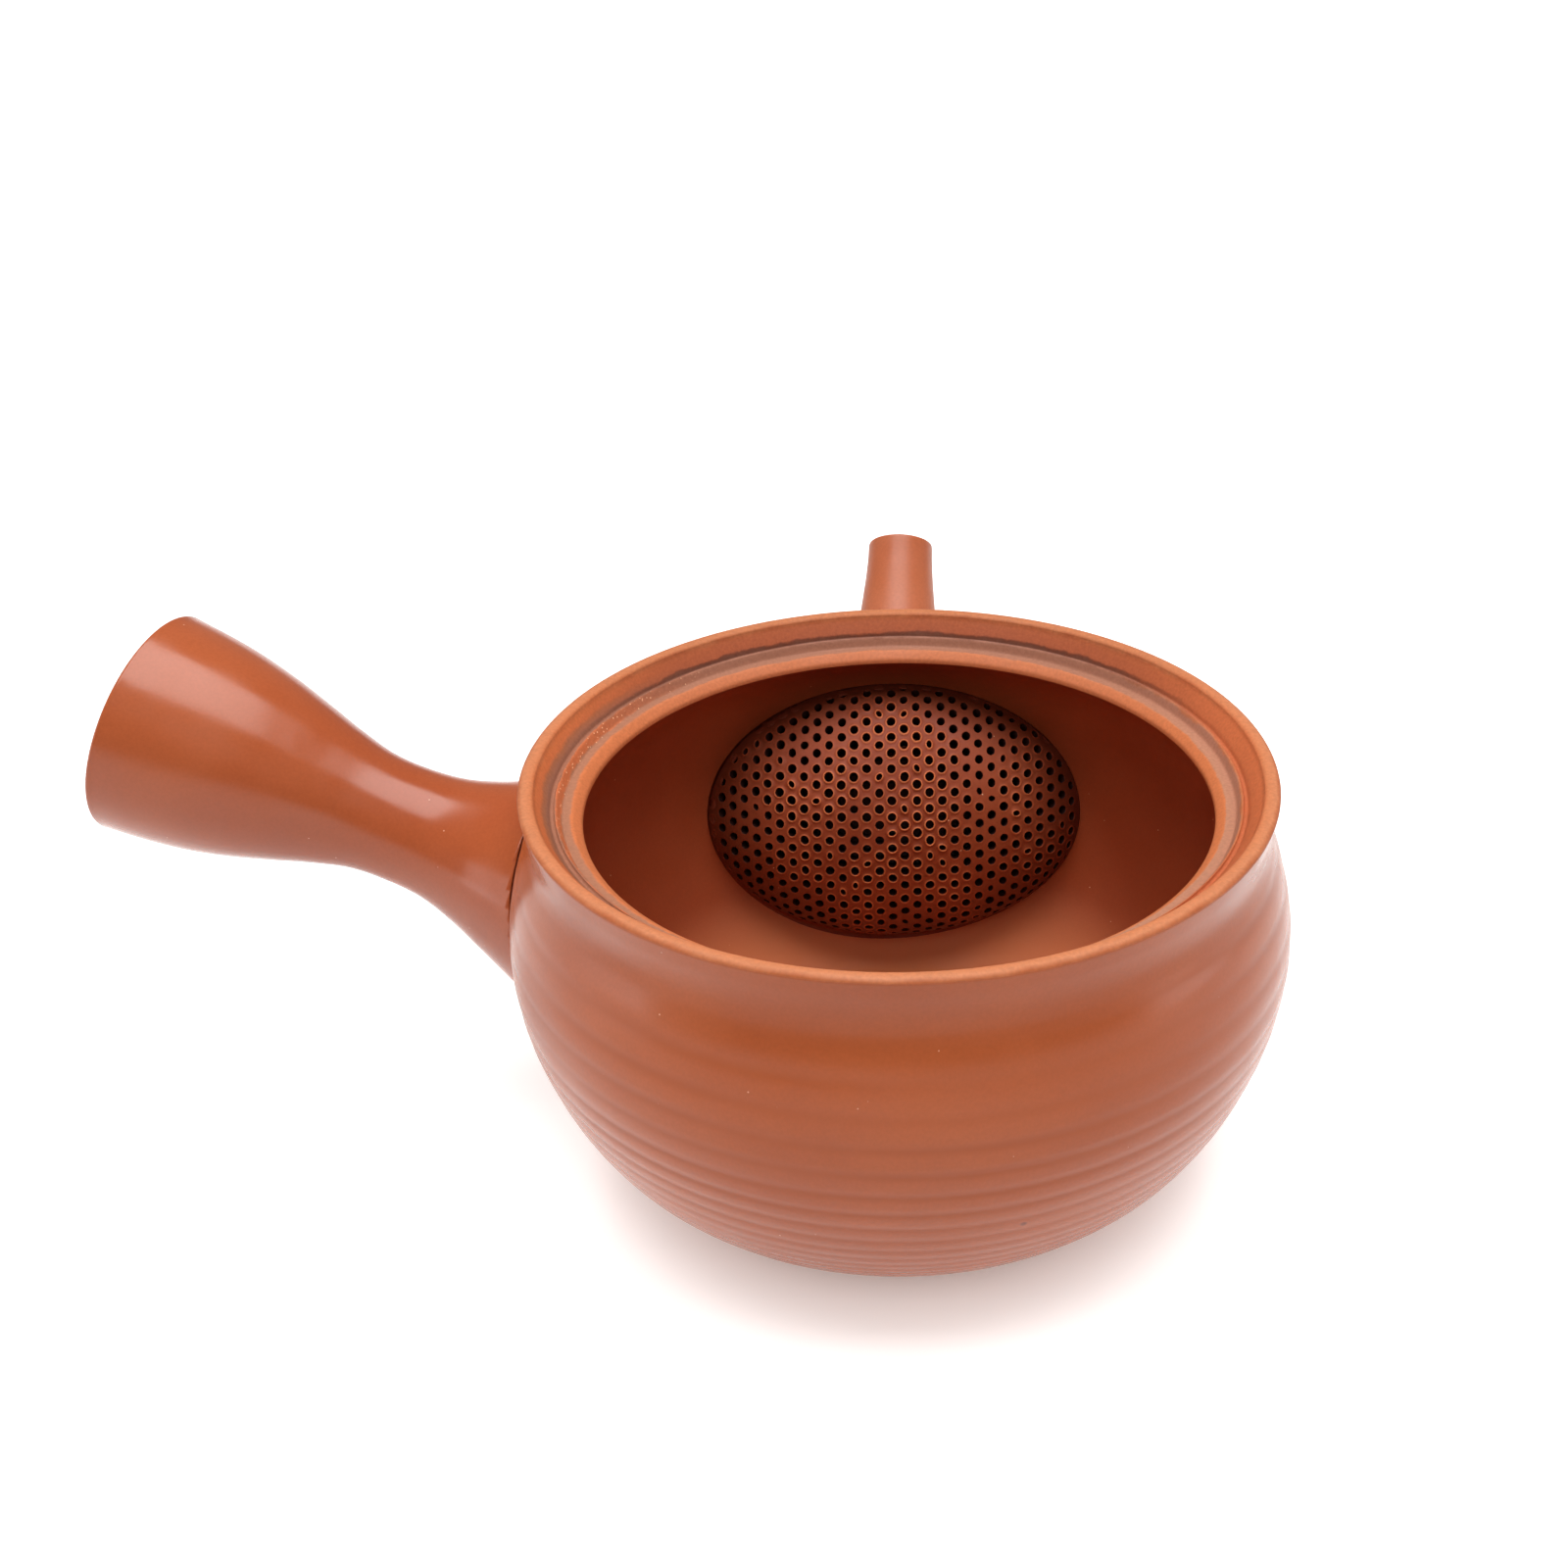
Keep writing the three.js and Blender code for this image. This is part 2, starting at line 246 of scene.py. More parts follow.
def extrude_ring(shape: BMesh, edges: list[BMEdge]) -> tuple[list[BMEdge], set[BMVert]]:
    """Extrudes a ring of edges, whose new vertices the caller puts in their place.

    Args:
        shape: The shape that the ring is part of.
        edges: The ring.

    Returns:
        The new ring's edges and its vertices.
    """
    made = bmesh.ops.extrude_edge_only(shape, edges=edges)["geom"]
    fresh = {part for part in made if isinstance(part, BMVert)}
    ring = [part for part in made if isinstance(part, BMEdge) and fresh.issuperset(part.verts)]
    return ring, fresh


def finish_mesh(shape: BMesh, name: str) -> Object:
    """Turns a shape in millimetres into a smooth-shaded object in metres, at the origin.

    Args:
        shape: The shape, which is used up.
        name: Name of the object and its mesh.

    Returns:
        The new object, linked to the scene.
    """
    bmesh.ops.scale(shape, vec=(MM, MM, MM), verts=shape.verts)
    mesh = bpy.data.meshes.new(name)
    shape.to_mesh(mesh)
    shape.free()
    mesh.shade_smooth()
    made = bpy.data.objects.new(name, mesh)
    bpy.context.scene.collection.objects.link(made)
    return made


def carve(target: Object, cutter: Object, cut: Cut) -> None:
    """Cuts one object with another, which is used up, and keeps the result in its own mesh.

    Args:
        target: The object that changes.
        cutter: The object that cuts.
        cut: Whether the common part goes or stays.
    """
    change = target.modifiers.new("cut", "BOOLEAN")
    change.solver = "EXACT"
    change.operation = cut.value
    change.object = cutter
    graph = bpy.context.evaluated_depsgraph_get()
    carved = bpy.data.meshes.new_from_object(target.evaluated_get(graph))
    target.modifiers.clear()
    carved.name = target.name
    target.data = carved
    carved.shade_smooth()
    bpy.data.objects.remove(cutter)


def report(piece: Object, slot: str, node: str, *finishes: Material) -> None:
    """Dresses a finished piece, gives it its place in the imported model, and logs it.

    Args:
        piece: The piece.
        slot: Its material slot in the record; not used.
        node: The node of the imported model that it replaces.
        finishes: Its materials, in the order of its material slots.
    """
    for finish in finishes:
        piece.data.materials.append(finish)
    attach(piece, "root")
    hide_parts(node)
    log.info("%s: %d faces", piece.name, len(piece.data.polygons))


def linear(code: str) -> tuple[float, float, float, float]:
    """Turns an sRGB hex colour such as #b7613f into a linear colour with full alpha."""
    shares = [int(code[place:place + 2], 16) / 255 for place in (1, 3, 5)]
    return (*[s / 12.92 if s <= 0.04045 else ((s + 0.055) / 1.055) ** 2.4 for s in shares], 1.0)


def per_metre(size: float) -> float:
    """Scale of a texture whose features are a size in millimetres."""
    return 1 / (size * MM)


def spread(middle: float, reach: float) -> dict[str, float]:
    """Inputs of a range node that spread a noise evenly round a middle value."""
    return {"From Min": NOISE_LOW, "From Max": NOISE_HIGH, "To Min": middle - reach,
            "To Max": middle + reach}


def empty_tree(owner: Material | World) -> NodeTree:
    """Gives a material or a world an empty node tree.

    Args:
        owner: The material or world.

    Returns:
        The tree.
    """
    owner.use_nodes = True
    owner.node_tree.nodes.clear()
    return owner.node_tree


def add(tree: NodeTree, kind: str, inputs: dict | None = None,
        stops: list[tuple[float, tuple]] | None = None, **settings: object) -> Node:
    """Adds a shader node with its settings and links.

    Args:
        tree: The material's or world's node tree.
        kind: Type of the node without ShaderNode before it, such as Math.
        inputs: Socket name or number to a value, to an output that is linked to it, or to a
            node whose first output in use is.
        stops: Places and colours of a colour ramp, in order.
        settings: Properties of the node.

    Returns:
        The new node.
    """
    node = tree.nodes.new("ShaderNode" + kind)
    for name, value in settings.items():
        setattr(node, name, value)
    for socket, value in (inputs or {}).items():
        if isinstance(value, Node):
            value = next(output for output in value.outputs if output.enabled)
        if isinstance(value, NodeSocket):
            tree.links.new(value, node.inputs[socket])
        else:
            node.inputs[socket].default_value = value
    if stops:
        ramp = node.color_ramp.elements
        for end in (0, -1):
            ramp[end].position, ramp[end].color = stops[end]
        for place, colour in stops[1:-1]:
            ramp.new(place).color = colour
    return node


@dataclass(frozen=True)
class Clay:
    """Fired, unglazed iron-rich clay. How its skin was smoothed decides how much it shines.

    The body is fine stoneware. Its IOR starts at 1.45 and is matched to how much each skin
    mirrors. Its colour drifts in soft clouds where the kiln's smoke reached it, and a few grains
    of grit show as pale specks. Real grain is 0.02 to 0.05 mm wide, too fine to show in the
    render, so grain, specks and streaks are drawn as coarse as they need to show.
    """

    name: str
    colour: str
    shade: str
    bloom: str
    roughness: float
    roughness_spread: float = 0.06
    cloud_size: float = 26
    sheen_size: float = 6.5
    grain_size: float = 0.45
    grain_detail: float = 2
    speck_size: float = 0.13
    speck_spacing: float = 4
    speck_colour: str = "#eab48f"
    speck_amount: float = 0.8
    streak_size: float = 1.1
    streak_stretch: float = 14
    streak_depth: float = 0.008
    grain_depth: float = 0.008
    grain_spread: float = 0.05
    ior: float = 1.45

    def material(self) -> Material:
        """Builds the finish as nodes that read Object coordinates.

        Returns:
            The new material.
        """
        made = bpy.data.materials.new(self.name)
        tree = empty_tree(made)
        place = add(tree, "TexCoord").outputs["Object"]
        patches = add(tree, "TexNoise", {
            "Vector": place, "Scale": per_metre(self.sheen_size), "Detail": 4.0})
        roughness = add(tree, "MapRange", {
            "Value": patches, **spread(self.roughness, self.roughness_spread)},
            interpolation_type="SMOOTHERSTEP")
        shader = add(tree, "BsdfPrincipled", {
            "Base Color": self.colour_nodes(tree, place), "Roughness": roughness,
            "IOR": self.ior, "Normal": self.relief_nodes(tree, place)})
        add(tree, "OutputMaterial", {"Surface": shader})
        return made

    def colour_nodes(self, tree: NodeTree, place: NodeSocket) -> Node:
        """Adds the drifting colour of the clay and its specks.

        Args:
            tree: The material's node tree.
            place: Object coordinates.

        Returns:
            The node that gives the colour.
        """
        drift = add(tree, "TexNoise", {
            "Vector": place, "Scale": per_metre(self.cloud_size), "Detail": 3.0})
        clouds = add(tree, "ValToRGB", {"Fac": drift}, stops=[
            (NOISE_LOW, linear(self.shade)), (0.5, linear(self.colour)),
            (NOISE_HIGH, linear(self.bloom))])
        clouds.color_ramp.interpolation = "B_SPLINE"
        grained = self.grain_nodes(tree, place, clouds)
        cells = add(tree, "TexVoronoi", {"Vector": place, "Scale": per_metre(self.speck_spacing)})
        edge = self.speck_size / self.speck_spacing
        speck = add(tree, "MapRange", {
            "Value": cells, "From Min": edge, "From Max": edge / 2, "To Min": 0.0,
            "To Max": self.speck_amount})
        return add(tree, "Mix", {MIX_SHARE: speck, MIX_FIRST: grained,
                                 MIX_SECOND: linear(self.speck_colour)}, data_type="RGBA")

    def grain_nodes(self, tree: NodeTree, place: NodeSocket, colour: Node) -> Node:
        """Makes a colour lighter and darker from grain to grain.

        Args:
            tree: The material's node tree.
            place: Object coordinates.
            colour: The node that gives the even colour.

        Returns:
            The node that gives the grained colour.
        """
        grain = add(tree, "TexNoise", {
            "Vector": place, "Scale": per_metre(self.grain_size), "Detail": self.grain_detail})
        light = add(tree, "MapRange", {"Value": grain, **spread(1, self.grain_spread)})
        return add(tree, "Mix", {MIX_SHARE: 1.0, MIX_FIRST: colour, MIX_SECOND: light},
                   data_type="RGBA", blend_type="MULTIPLY")

    def relief_nodes(self, tree: NodeTree, place: NodeSocket) -> Node:
        """Adds the fine relief: level streaks of throwing and burnishing, and the clay's grain.

        Args:
            tree: The material's node tree.
            place: Object coordinates.

        Returns:
            The node that gives the normal.
        """
        level = 1 / self.streak_stretch
        stretched = add(tree, "Mapping", {"Vector": place, "Scale": (level, level, 1)})
        under: dict[str, Node] = {}
        for source, size, depth in ((stretched, self.streak_size, self.streak_depth),
                                    (place, self.grain_size, self.grain_depth)):
            height = add(tree, "TexNoise", {
                "Vector": source, "Scale": per_metre(size), "Detail": 3.0})
            bump = add(tree, "Bump", {"Height": height, "Distance": depth * MM, "Strength": 1.0,
                                      **under})
            under = {"Normal": bump}
        return bump


@dataclass(frozen=True)
class GalleryClay(Clay):
    """The rim and the ledges inside it, where lids have ground the clay grey-brown in rings.

    The rings lie off centre: on the left the step stays orange between two grey rings, on the
    right the upper ledge stays orange, and at the back it is dark. Each table of rings gives
    distances from the bowl's axis and the colours there. Their brightness is partly painted
    light and shade: the back table is darker as painted shade, the left and right walls are
    lighter as painted light, and the dark rings at the crease under the wall are painted shade.
    Grit has left a row of bright scratches on the left. Reaches are shares of the mouth's radius,
    from where a change starts to where it is done.
    """

    # Ground rings; the wall is lightened as painted light and the crease darkened as painted shade
    left: Bands = (
        (42, "#c26c40"), (43.4, "#c26d40"), (43.7, "#a26b50"), (44.6, "#a06a50"),
        (44.8, "#c46a40"), (45.3, "#c0663d"), (45.45, "#9c654c"), (46.3, "#935e48"),
        (46.8, "#9c5c3d"), (47.1, "#bd6338"), (47.7, "#bf6538"), (48.3, "#c2744a"),
        (49.4, "#be764f"), (50, "#a55731"))
    # Ground rings; the wall is lightened as painted light
    right: Bands = (
        (42, "#c26c40"), (43.2, "#c26d40"), (43.4, "#ac755a"), (45.1, "#aa7058"),
        (45.3, "#b86a42"), (45.6, "#ad5a36"), (46.1, "#b55f38"), (46.5, "#bb6239"),
        (47.7, "#c4673c"), (48.3, "#c2744a"), (49.4, "#be764f"), (50, "#a55731"))
    # Ground rings, darker all over as painted shade and darkest at the crease
    back: Bands = (
        (42, "#bb6a42"), (43.3, "#bb6b43"), (43.5, "#9d6850"), (45.2, "#96624c"),
        (45.4, "#84503c"), (46.1, "#6a3d2c"), (46.3, "#693420"), (46.5, "#9d4e2d"),
        (47.7, "#a2522e"), (48.2, "#b66c43"), (49.4, "#b87049"), (50, "#a5542f"))
    mouth: float = 42
    side_reach: Share = (-0.5, 0.5)
    back_reach: Share = (0.2, 0.9)
    wobble: float = 0.22
    wobble_size: float = 5
    scratch_radius: float = 44.95
    scratch_reach: float = 0.45
    scratch_side: Share = (-0.6, -0.9)
    scratch_size: float = 0.5
    scratch_edge: float = 0.3
    scratch_rarity: float = 0.6
    scratch_colour: str = "#ffc79a"

    def rings(self, tree: NodeTree, radius: Node, bands: Bands) -> Node:
        """Colours the clay by its distance from the bowl's axis.

        Args:
            tree: The material's node tree.
            radius: The node that gives that distance in millimetres.
            bands: Distances and their colours.

        Returns:
            The node that gives the colour.
        """
        first, last = bands[0][0], bands[-1][0]
        share = add(tree, "MapRange", {"Value": radius, "From Min": first, "From Max": last})
        return add(tree, "ValToRGB", {"Fac": share}, stops=[
            ((distance - first) / (last - first), linear(code)) for distance, code in bands])

    def colour_nodes(self, tree: NodeTree, place: NodeSocket) -> Node:
        """Adds the rings of colour with their wandering edges, the grain and the scratches.

        Args:
            tree: The material's node tree.
            place: Object coordinates.

        Returns:
            The node that gives the colour.
        """
        flat = add(tree, "VectorMath", {0: place, 1: (1 / MM, 1 / MM, 0)}, operation="MULTIPLY")
        length = add(tree, "VectorMath", {0: flat}, operation="LENGTH")
        apart = add(tree, "SeparateXYZ", {"Vector": flat})
        drift = add(tree, "TexNoise", {
            "Vector": place, "Scale": per_metre(self.wobble_size), "Detail": 5.0,
            "Roughness": 0.65})
        shift = add(tree, "MapRange", {"Value": drift, **spread(0, self.wobble)})
        radius = add(tree, "Math", {0: length, 1: shift}, operation="ADD")
        colour = self.rings(tree, radius, self.left)
        # The right and back tables are mixed in; how their brightness differs from the left's is
        # painted light and shade
        for axis, (start, end), bands in (("X", self.side_reach, self.right),
                                          ("Y", self.back_reach, self.back)):
            share = add(tree, "MapRange", {
                "Value": apart.outputs[axis], "From Min": start * self.mouth,
                "From Max": end * self.mouth}, interpolation_type="SMOOTHSTEP")
            colour = add(tree, "Mix", {MIX_SHARE: share, MIX_FIRST: colour,
                                       MIX_SECOND: self.rings(tree, radius, bands)},
                         data_type="RGBA")
        amount = self.scratch_nodes(tree, place, length, apart.outputs["X"])
        return add(tree, "Mix", {
            MIX_SHARE: amount, MIX_FIRST: self.grain_nodes(tree, place, colour),
            MIX_SECOND: linear(self.scratch_colour)}, data_type="RGBA")

    def scratch_nodes(self, tree: NodeTree, place: NodeSocket, length: Node,
                      across: NodeSocket) -> Node:
        """Adds the row of grit scratches.

        Args:
            tree: The material's node tree.
            place: Object coordinates.
            length: The node that gives the distance from the bowl's axis in millimetres.
            across: Distance to the right of that axis in millimetres.

        Returns:
            The node that gives how bright the clay is scratched.
        """
        near = add(tree, "Math", {0: length, 1: self.scratch_radius}, operation="SUBTRACT")
        off = add(tree, "Math", {0: near}, operation="ABSOLUTE")
        band = add(tree, "MapRange", {"Value": off, "From Min": self.scratch_reach,
                                      "From Max": self.scratch_reach / 2})
        cells = add(tree, "TexVoronoi", {"Vector": place, "Scale": per_metre(self.scratch_size)})
        amount = add(tree, "MapRange", {"Value": cells, "From Min": self.scratch_edge,
                                        "From Max": self.scratch_edge / 2})
        chance = add(tree, "SeparateColor", {"Color": cells.outputs["Color"]})
        few = add(tree, "Math", {0: chance.outputs["Red"], 1: self.scratch_rarity},
                  operation="GREATER_THAN")
        start, end = self.scratch_side
        leftness = add(tree, "MapRange", {
            "Value": across, "From Min": start * self.scratch_radius,
            "From Max": end * self.scratch_radius})
        for factor in (few, band, leftness):
            amount = add(tree, "Math", {0: amount, 1: factor}, operation="MULTIPLY")
        return amount


@dataclass(frozen=True)
class MarkedClay(Clay):
    """Clay whose mark layer draws painted light and shade, up to 1 and down to -1."""

    # Colour of marks above 0: painted shade in grooves, painted light on a floor, or pale burr
    # crests that are part the clay's own colour and part a painted glint
    painted_light_colour: str = "#a04b20"
    # Colour of marks below 0: painted shade in holes and hollows
    painted_shade_colour: str = "#240c08"
    chip: tuple[float, float, float] | None = None
    chip_size: float = 0.55
    chip_colour: str = "#7d3c22"

    def colour_nodes(self, tree: NodeTree, place: NodeSocket) -> Node:
        """Adds the painted light and shade of the mark layer and a small chip to the drifting
        colour of the clay.

        Args:
            tree: The material's node tree.
            place: Object coordinates.

        Returns:
            The node that gives the colour.
        """
        # Marks above 0 draw the mark colour as painted light or shade; marks below 0 draw painted
        # shade
        marks = add(tree, "Attribute", attribute_name=PAINTED_LIGHT).outputs["Fac"]
        painted_shade = add(tree, "MapRange", {"Value": marks, "From Min": 0.0, "From Max": -1.0})
        layers: list[tuple[Source, str]] = [(marks, self.painted_light_colour), (painted_shade, self.painted_shade_colour)]
        if self.chip:
            away = add(tree, "VectorMath", {0: place, 1: Vector(self.chip) * MM},
                       operation="DISTANCE")
            size = self.chip_size * MM
            chipped = add(tree, "MapRange", {"Value": away, "From Min": size, "From Max": size / 2})
            layers.append((chipped, self.chip_colour))
        colour = super().colour_nodes(tree, place)
        for share, code in layers:
            colour = add(tree, "Mix", {MIX_SHARE: share, MIX_FIRST: colour,
                                       MIX_SECOND: linear(code)}, data_type="RGBA")
        return colour


@dataclass
class Bowl:
    """The thrown bowl: foot, belly, collar, rim, ground seat for a lid, and the inlet of the spout.

    Drops are measured down from the rim's height, and the lip's from the seat. Each pair in a
    table of shares gives how far the outline has gone along and how far it has changed by then.
    """

    height: float = 61
    foot_radius: float = 29.5
    belly_radius: float = 53.5
    belly_height: float = 36
    neck_radius: float = 49.3
    neck_drop: float = 6
    rim_radius: float = 50
    rim_width: float = 2.1
    rim_crown: float = 0.65
    wall: float = 3
    floor: float = 3.6
    floor_share: float = 0.3
    corner_share: float = 0.5
    ledge_radius: float = 46.2
    ledge_drop: float = 3
    crease_width: float = 0.7
    step_radius: float = 45.3
    step_rounding: float = 0.15
    seat_radius: float = 44.6
    seat_drop: float = 4.4
    seat_thickness: float = 1.7
    mouth_radius: float = 42.1
    lip_width: float = 1.2
    lip_drop: float = 1.1
    lip_rounding: float = 0.2
    crisp_edge: float = 0.06
    inlet_radius: float = 6
    inlet_sides: int = 48
    spout_side_offset: float = -0.7
    spout_root_rise: float = 4.7
    spout_elevation: float = 47
    sides: int = 240
    skin_step: float = 0.3
    inner_step: float = 1.2
    arc_steps: int = 10
    cutter_stride: int = 3
    ring_height: float = 0.042
    ring_start: float = 12.1
    ring_pitch: float = 4.2
    ring_tightening: float = 0.25
    ring_fade: float = 5
    ring_swell: float = 0.3
    ring_drift_size: float = 36
    ring_drift_squeeze: float = 3
    groove_place: float = 0.25
    groove_share: float = 0.18
    # How much painted shade the grooves of the throwing rings get
    groove_shade: float = 0.8
    front: float = -90
    # Painted light that makes the inside paler towards its floor: the height over which it fades
    # out upwards, and where the fade starts in shares of that height
    floor_light_height: float = 12
    floor_light_start: float = 1.5
    lower_shares: tuple[Share, ...] = (
        (0.011, 0.042), (0.042, 0.125), (0.097, 0.258), (0.167, 0.388), (0.25, 0.521),
        (0.333, 0.638), (0.417, 0.733), (0.556, 0.842), (0.694, 0.917), (0.833, 0.971), (1, 1))
    upper_shares: tuple[Share, ...] = (
        (0.158, 0.02), (0.29, 0.071), (0.421, 0.186), (0.553, 0.345), (0.711, 0.571),
        (0.842, 0.798), (0.921, 0.929), (1, 1))
    inner_shoulder: int = 4
    collar_shares: tuple[Share, ...] = ((0.32, 0.14), (0.65, 0.6))
    underside_shares: tuple[Share, ...] = ((0.16, 0.34), (0.42, 0.66), (0.71, 0.87))

    def __post_init__(self) -> None:
        """Works out the heights, and keeps the inner wall's outline, which is asked for often."""
        self.rim_height = self.height - self.rim_crown
        self.neck_height = self.height - self.neck_drop
        self.mouth_edge = at(self.mouth_radius, self.height - self.seat_drop - self.seat_thickness)
        self.inner_wall = [here for here in self.inside() if here.x > 0]

    def belly(self) -> Outline:
        """Outline of the outside from just above the foot to the widest height."""
        return [at(mix(self.foot_radius, self.belly_radius, widening), self.belly_height * rise)
                for rise, widening in self.lower_shares]

    def shoulder(self) -> Outline:
        """Outline of the outside from the widest height up to the neck."""
        return [at(mix(self.belly_radius, self.neck_radius, narrowing),
                   mix(self.belly_height, self.neck_height, rise))
                for rise, narrowing in self.upper_shares]

    def outside(self) -> Outline:
        """Outline of the outside.

        Returns:
            Its points, from the edge of the foot up to the rim's widest point.
        """
        collar = [at(mix(self.neck_radius, self.rim_radius, widening),
                     mix(self.neck_height, self.rim_height, rise))
                  for rise, widening in self.collar_shares]
        points = [at(self.foot_radius, 0), *self.belly(), *self.shoulder(), *collar,
                  at(self.rim_radius, self.rim_height)]
        return smooth_curve(points, self.skin_step)

    def seat(self) -> Outline:
        """Outline of rolled rim, crease, narrow ledge, step, flat seat and lip.

        Returns:
            Its points, going inwards and down.
        """
        ledge_height, seat_height = self.height - self.ledge_drop, self.height - self.seat_drop
        half = self.rim_width / 2
        rim = [at(self.rim_radius - half, self.rim_height)
               + at(here.x * half, here.z * self.rim_crown)
               for here in arc(at(0, 0), 1, 0, 180, 2 * self.arc_steps)]
        crease = arc(at(self.ledge_radius - self.crease_width / 2, ledge_height),
                     self.crease_width / 2, 0, -180, self.arc_steps)
        wall = smooth_curve([rim[-1], crease[0]], self.crease_width)
        step = bevelled(at(self.step_radius, ledge_height), at(self.seat_radius, seat_height),
                        self.step_rounding, at(-1, 0))
        lip = bevelled(at(self.mouth_radius + self.lip_width, seat_height),
                       at(self.mouth_radius, seat_height - self.lip_drop), self.lip_rounding,
                       at(0, -1))
        return [*rim[1:], *wall[1:-1], *crease, *step, *lip,
                self.mouth_edge + at(0, self.crisp_edge)]

    def inside(self) -> Outline:
        """Outline of the inside.

        Returns:
            Its points, from under the lip down to the middle of the floor.
        """
        skin = offset_outline([*self.belly(), *self.shoulder()[:self.inner_shoulder]], -self.wall)
        wall = [here for here in reversed(skin) if here.z > self.floor]
        lip = self.mouth_edge
        under = [at(mix(lip.x, wall[0].x, widening), mix(lip.z, wall[0].z, drop))
                 for drop, widening in self.underside_shares]
        middle, edge = at(0, self.floor), at(self.foot_radius, self.floor)
        level = edge.lerp(middle, self.floor_share)
        curve = smooth_curve([lip, *under, *wall[:-1], edge.lerp(wall[-1], self.corner_share),
                              level, level.lerp(middle, self.floor_share)], self.inner_step)
        near_lip = curve[0] + (curve[1] - curve[0]).normalized() * self.crisp_edge
        return [curve[0], near_lip, *curve[1:], middle]

    def filled(self, distance: float) -> Object:
        """A plain solid of the bowl's outside that cuts the parts luted to it.

        Args:
            distance: How far its skin is moved outwards.

        Returns:
            The solid.
        """
        skin = offset_outline(self.outside()[::self.cutter_stride], distance)
        shape = spin_outline([at(0, skin[0].z), *skin, at(0, skin[-1].z)], self.sides)
        return finish_mesh(shape, "bowl_cutter")

    def inside_radius(self, height: float) -> float:
        """Radius of the inner wall at a height.

        Args:
            height: The height above the table.

        Returns:
            The radius, which is 0 below the floor.
        """
        wall = self.inner_wall
        for above, below in zip(wall, wall[1:]):
            if below.z <= height <= above.z and above.z > below.z:
                return mix(below.x, above.x, (height - below.z) / (above.z - below.z))
        return 0.0 if height < self.floor else wall[0].x

    def ring_relief(self, place: Vector) -> tuple[float, float]:
        """How far the throwing rings lift the outer skin at a place.

        The rings are one spiral, a pitch lower after each turn, and they tighten downwards.

        Args:
            place: The place on the skin.

        Returns:
            The lift in millimetres, and how much of a groove the place is, from 0 to 1, which is
            how much painted shade it gets.
        """
        depth = self.height - place.z
        slope = self.ring_pitch + self.ring_tightening / 2
        inner = slope * slope - 2 * self.ring_tightening * (depth - self.ring_start)
        count = (slope - math.sqrt(max(inner, 0))) / self.ring_tightening
        turn = math.atan2(place.y, place.x) - math.radians(self.front)
        share = (count - turn / TURN) % 1
        groove = math.exp(-((share - self.groove_place) / self.groove_share) ** 2)
        wave = -self.ring_swell * math.cos(TURN * (share - self.groove_place)) - groove
        squeezed = Vector((place.x, place.y, self.ring_drift_squeeze * place.z))
        drawn = noise.noise(squeezed / self.ring_drift_size)
        fade = ease((depth - self.neck_drop) / self.ring_fade) * ease(place.z / self.ring_fade)
        return (self.ring_height * (1 + drawn) * fade * wave,
                clamp((self.groove_shade + drawn) * fade * groove))

    def build(self) -> Object:
        """Spins the bowl, presses the throwing rings into it and opens its inlet.

        Returns:
            The bowl, without its materials.
        """
        skin, seat, inside = [at(0, 0), *self.outside()], self.seat(), self.inside()
        zones = [surface.value for surface, part in zip(Surface, (skin, seat, inside))
                 for _ in part]
        shape = spin_outline([*skin, *seat, *inside], self.sides, zones=zones)
        zone, painted_light = shape.verts.layers.int[ZONE], shape.verts.layers.float[PAINTED_LIGHT]
        for vertex in shape.verts:
            if vertex[zone] == Surface.OUTSIDE.value and vertex.co.z > 0:
                # The grooves are marked for painted shade
                lift, vertex[painted_light] = self.ring_relief(vertex.co)
                vertex.co.xy *= 1 + lift / vertex.co.xy.length
            elif vertex[zone] == Surface.INSIDE.value:
                # The lower inside is marked for painted light
                vertex[painted_light] = ease(self.floor_light_start - vertex.co.z / self.floor_light_height)
        for face in shape.faces:
            face.material_index = min(vertex[zone] for vertex in face.verts)
        bowl = finish_mesh(shape, "bowl")
        carve(bowl, self.inlet(), Cut.AWAY)
        return bowl

    def inlet(self) -> Object:
        """A level rod that bores the hole behind the spout.

        Returns:
            The rod.
        """
        shape = bmesh.new()
        slope = math.tan(math.radians(self.spout_elevation))
        middle = self.spout_root() - Vector((0, self.wall / 2, self.wall / 2 * slope))
        lie = Matrix.Rotation(math.radians(90), 4, "X")
        bmesh.ops.create_cone(
            shape, cap_ends=True, segments=self.inlet_sides, radius1=self.inlet_radius,
            radius2=self.inlet_radius, depth=4 * self.wall,
            matrix=Matrix.Translation(middle) @ lie)
        return finish_mesh(shape, "inlet_cutter")

    def spout_root(self) -> Vector:
        """Where the spout's axis meets the belly."""
        return Vector((self.spout_side_offset, self.belly_radius,
                       self.belly_height + self.spout_root_rise))


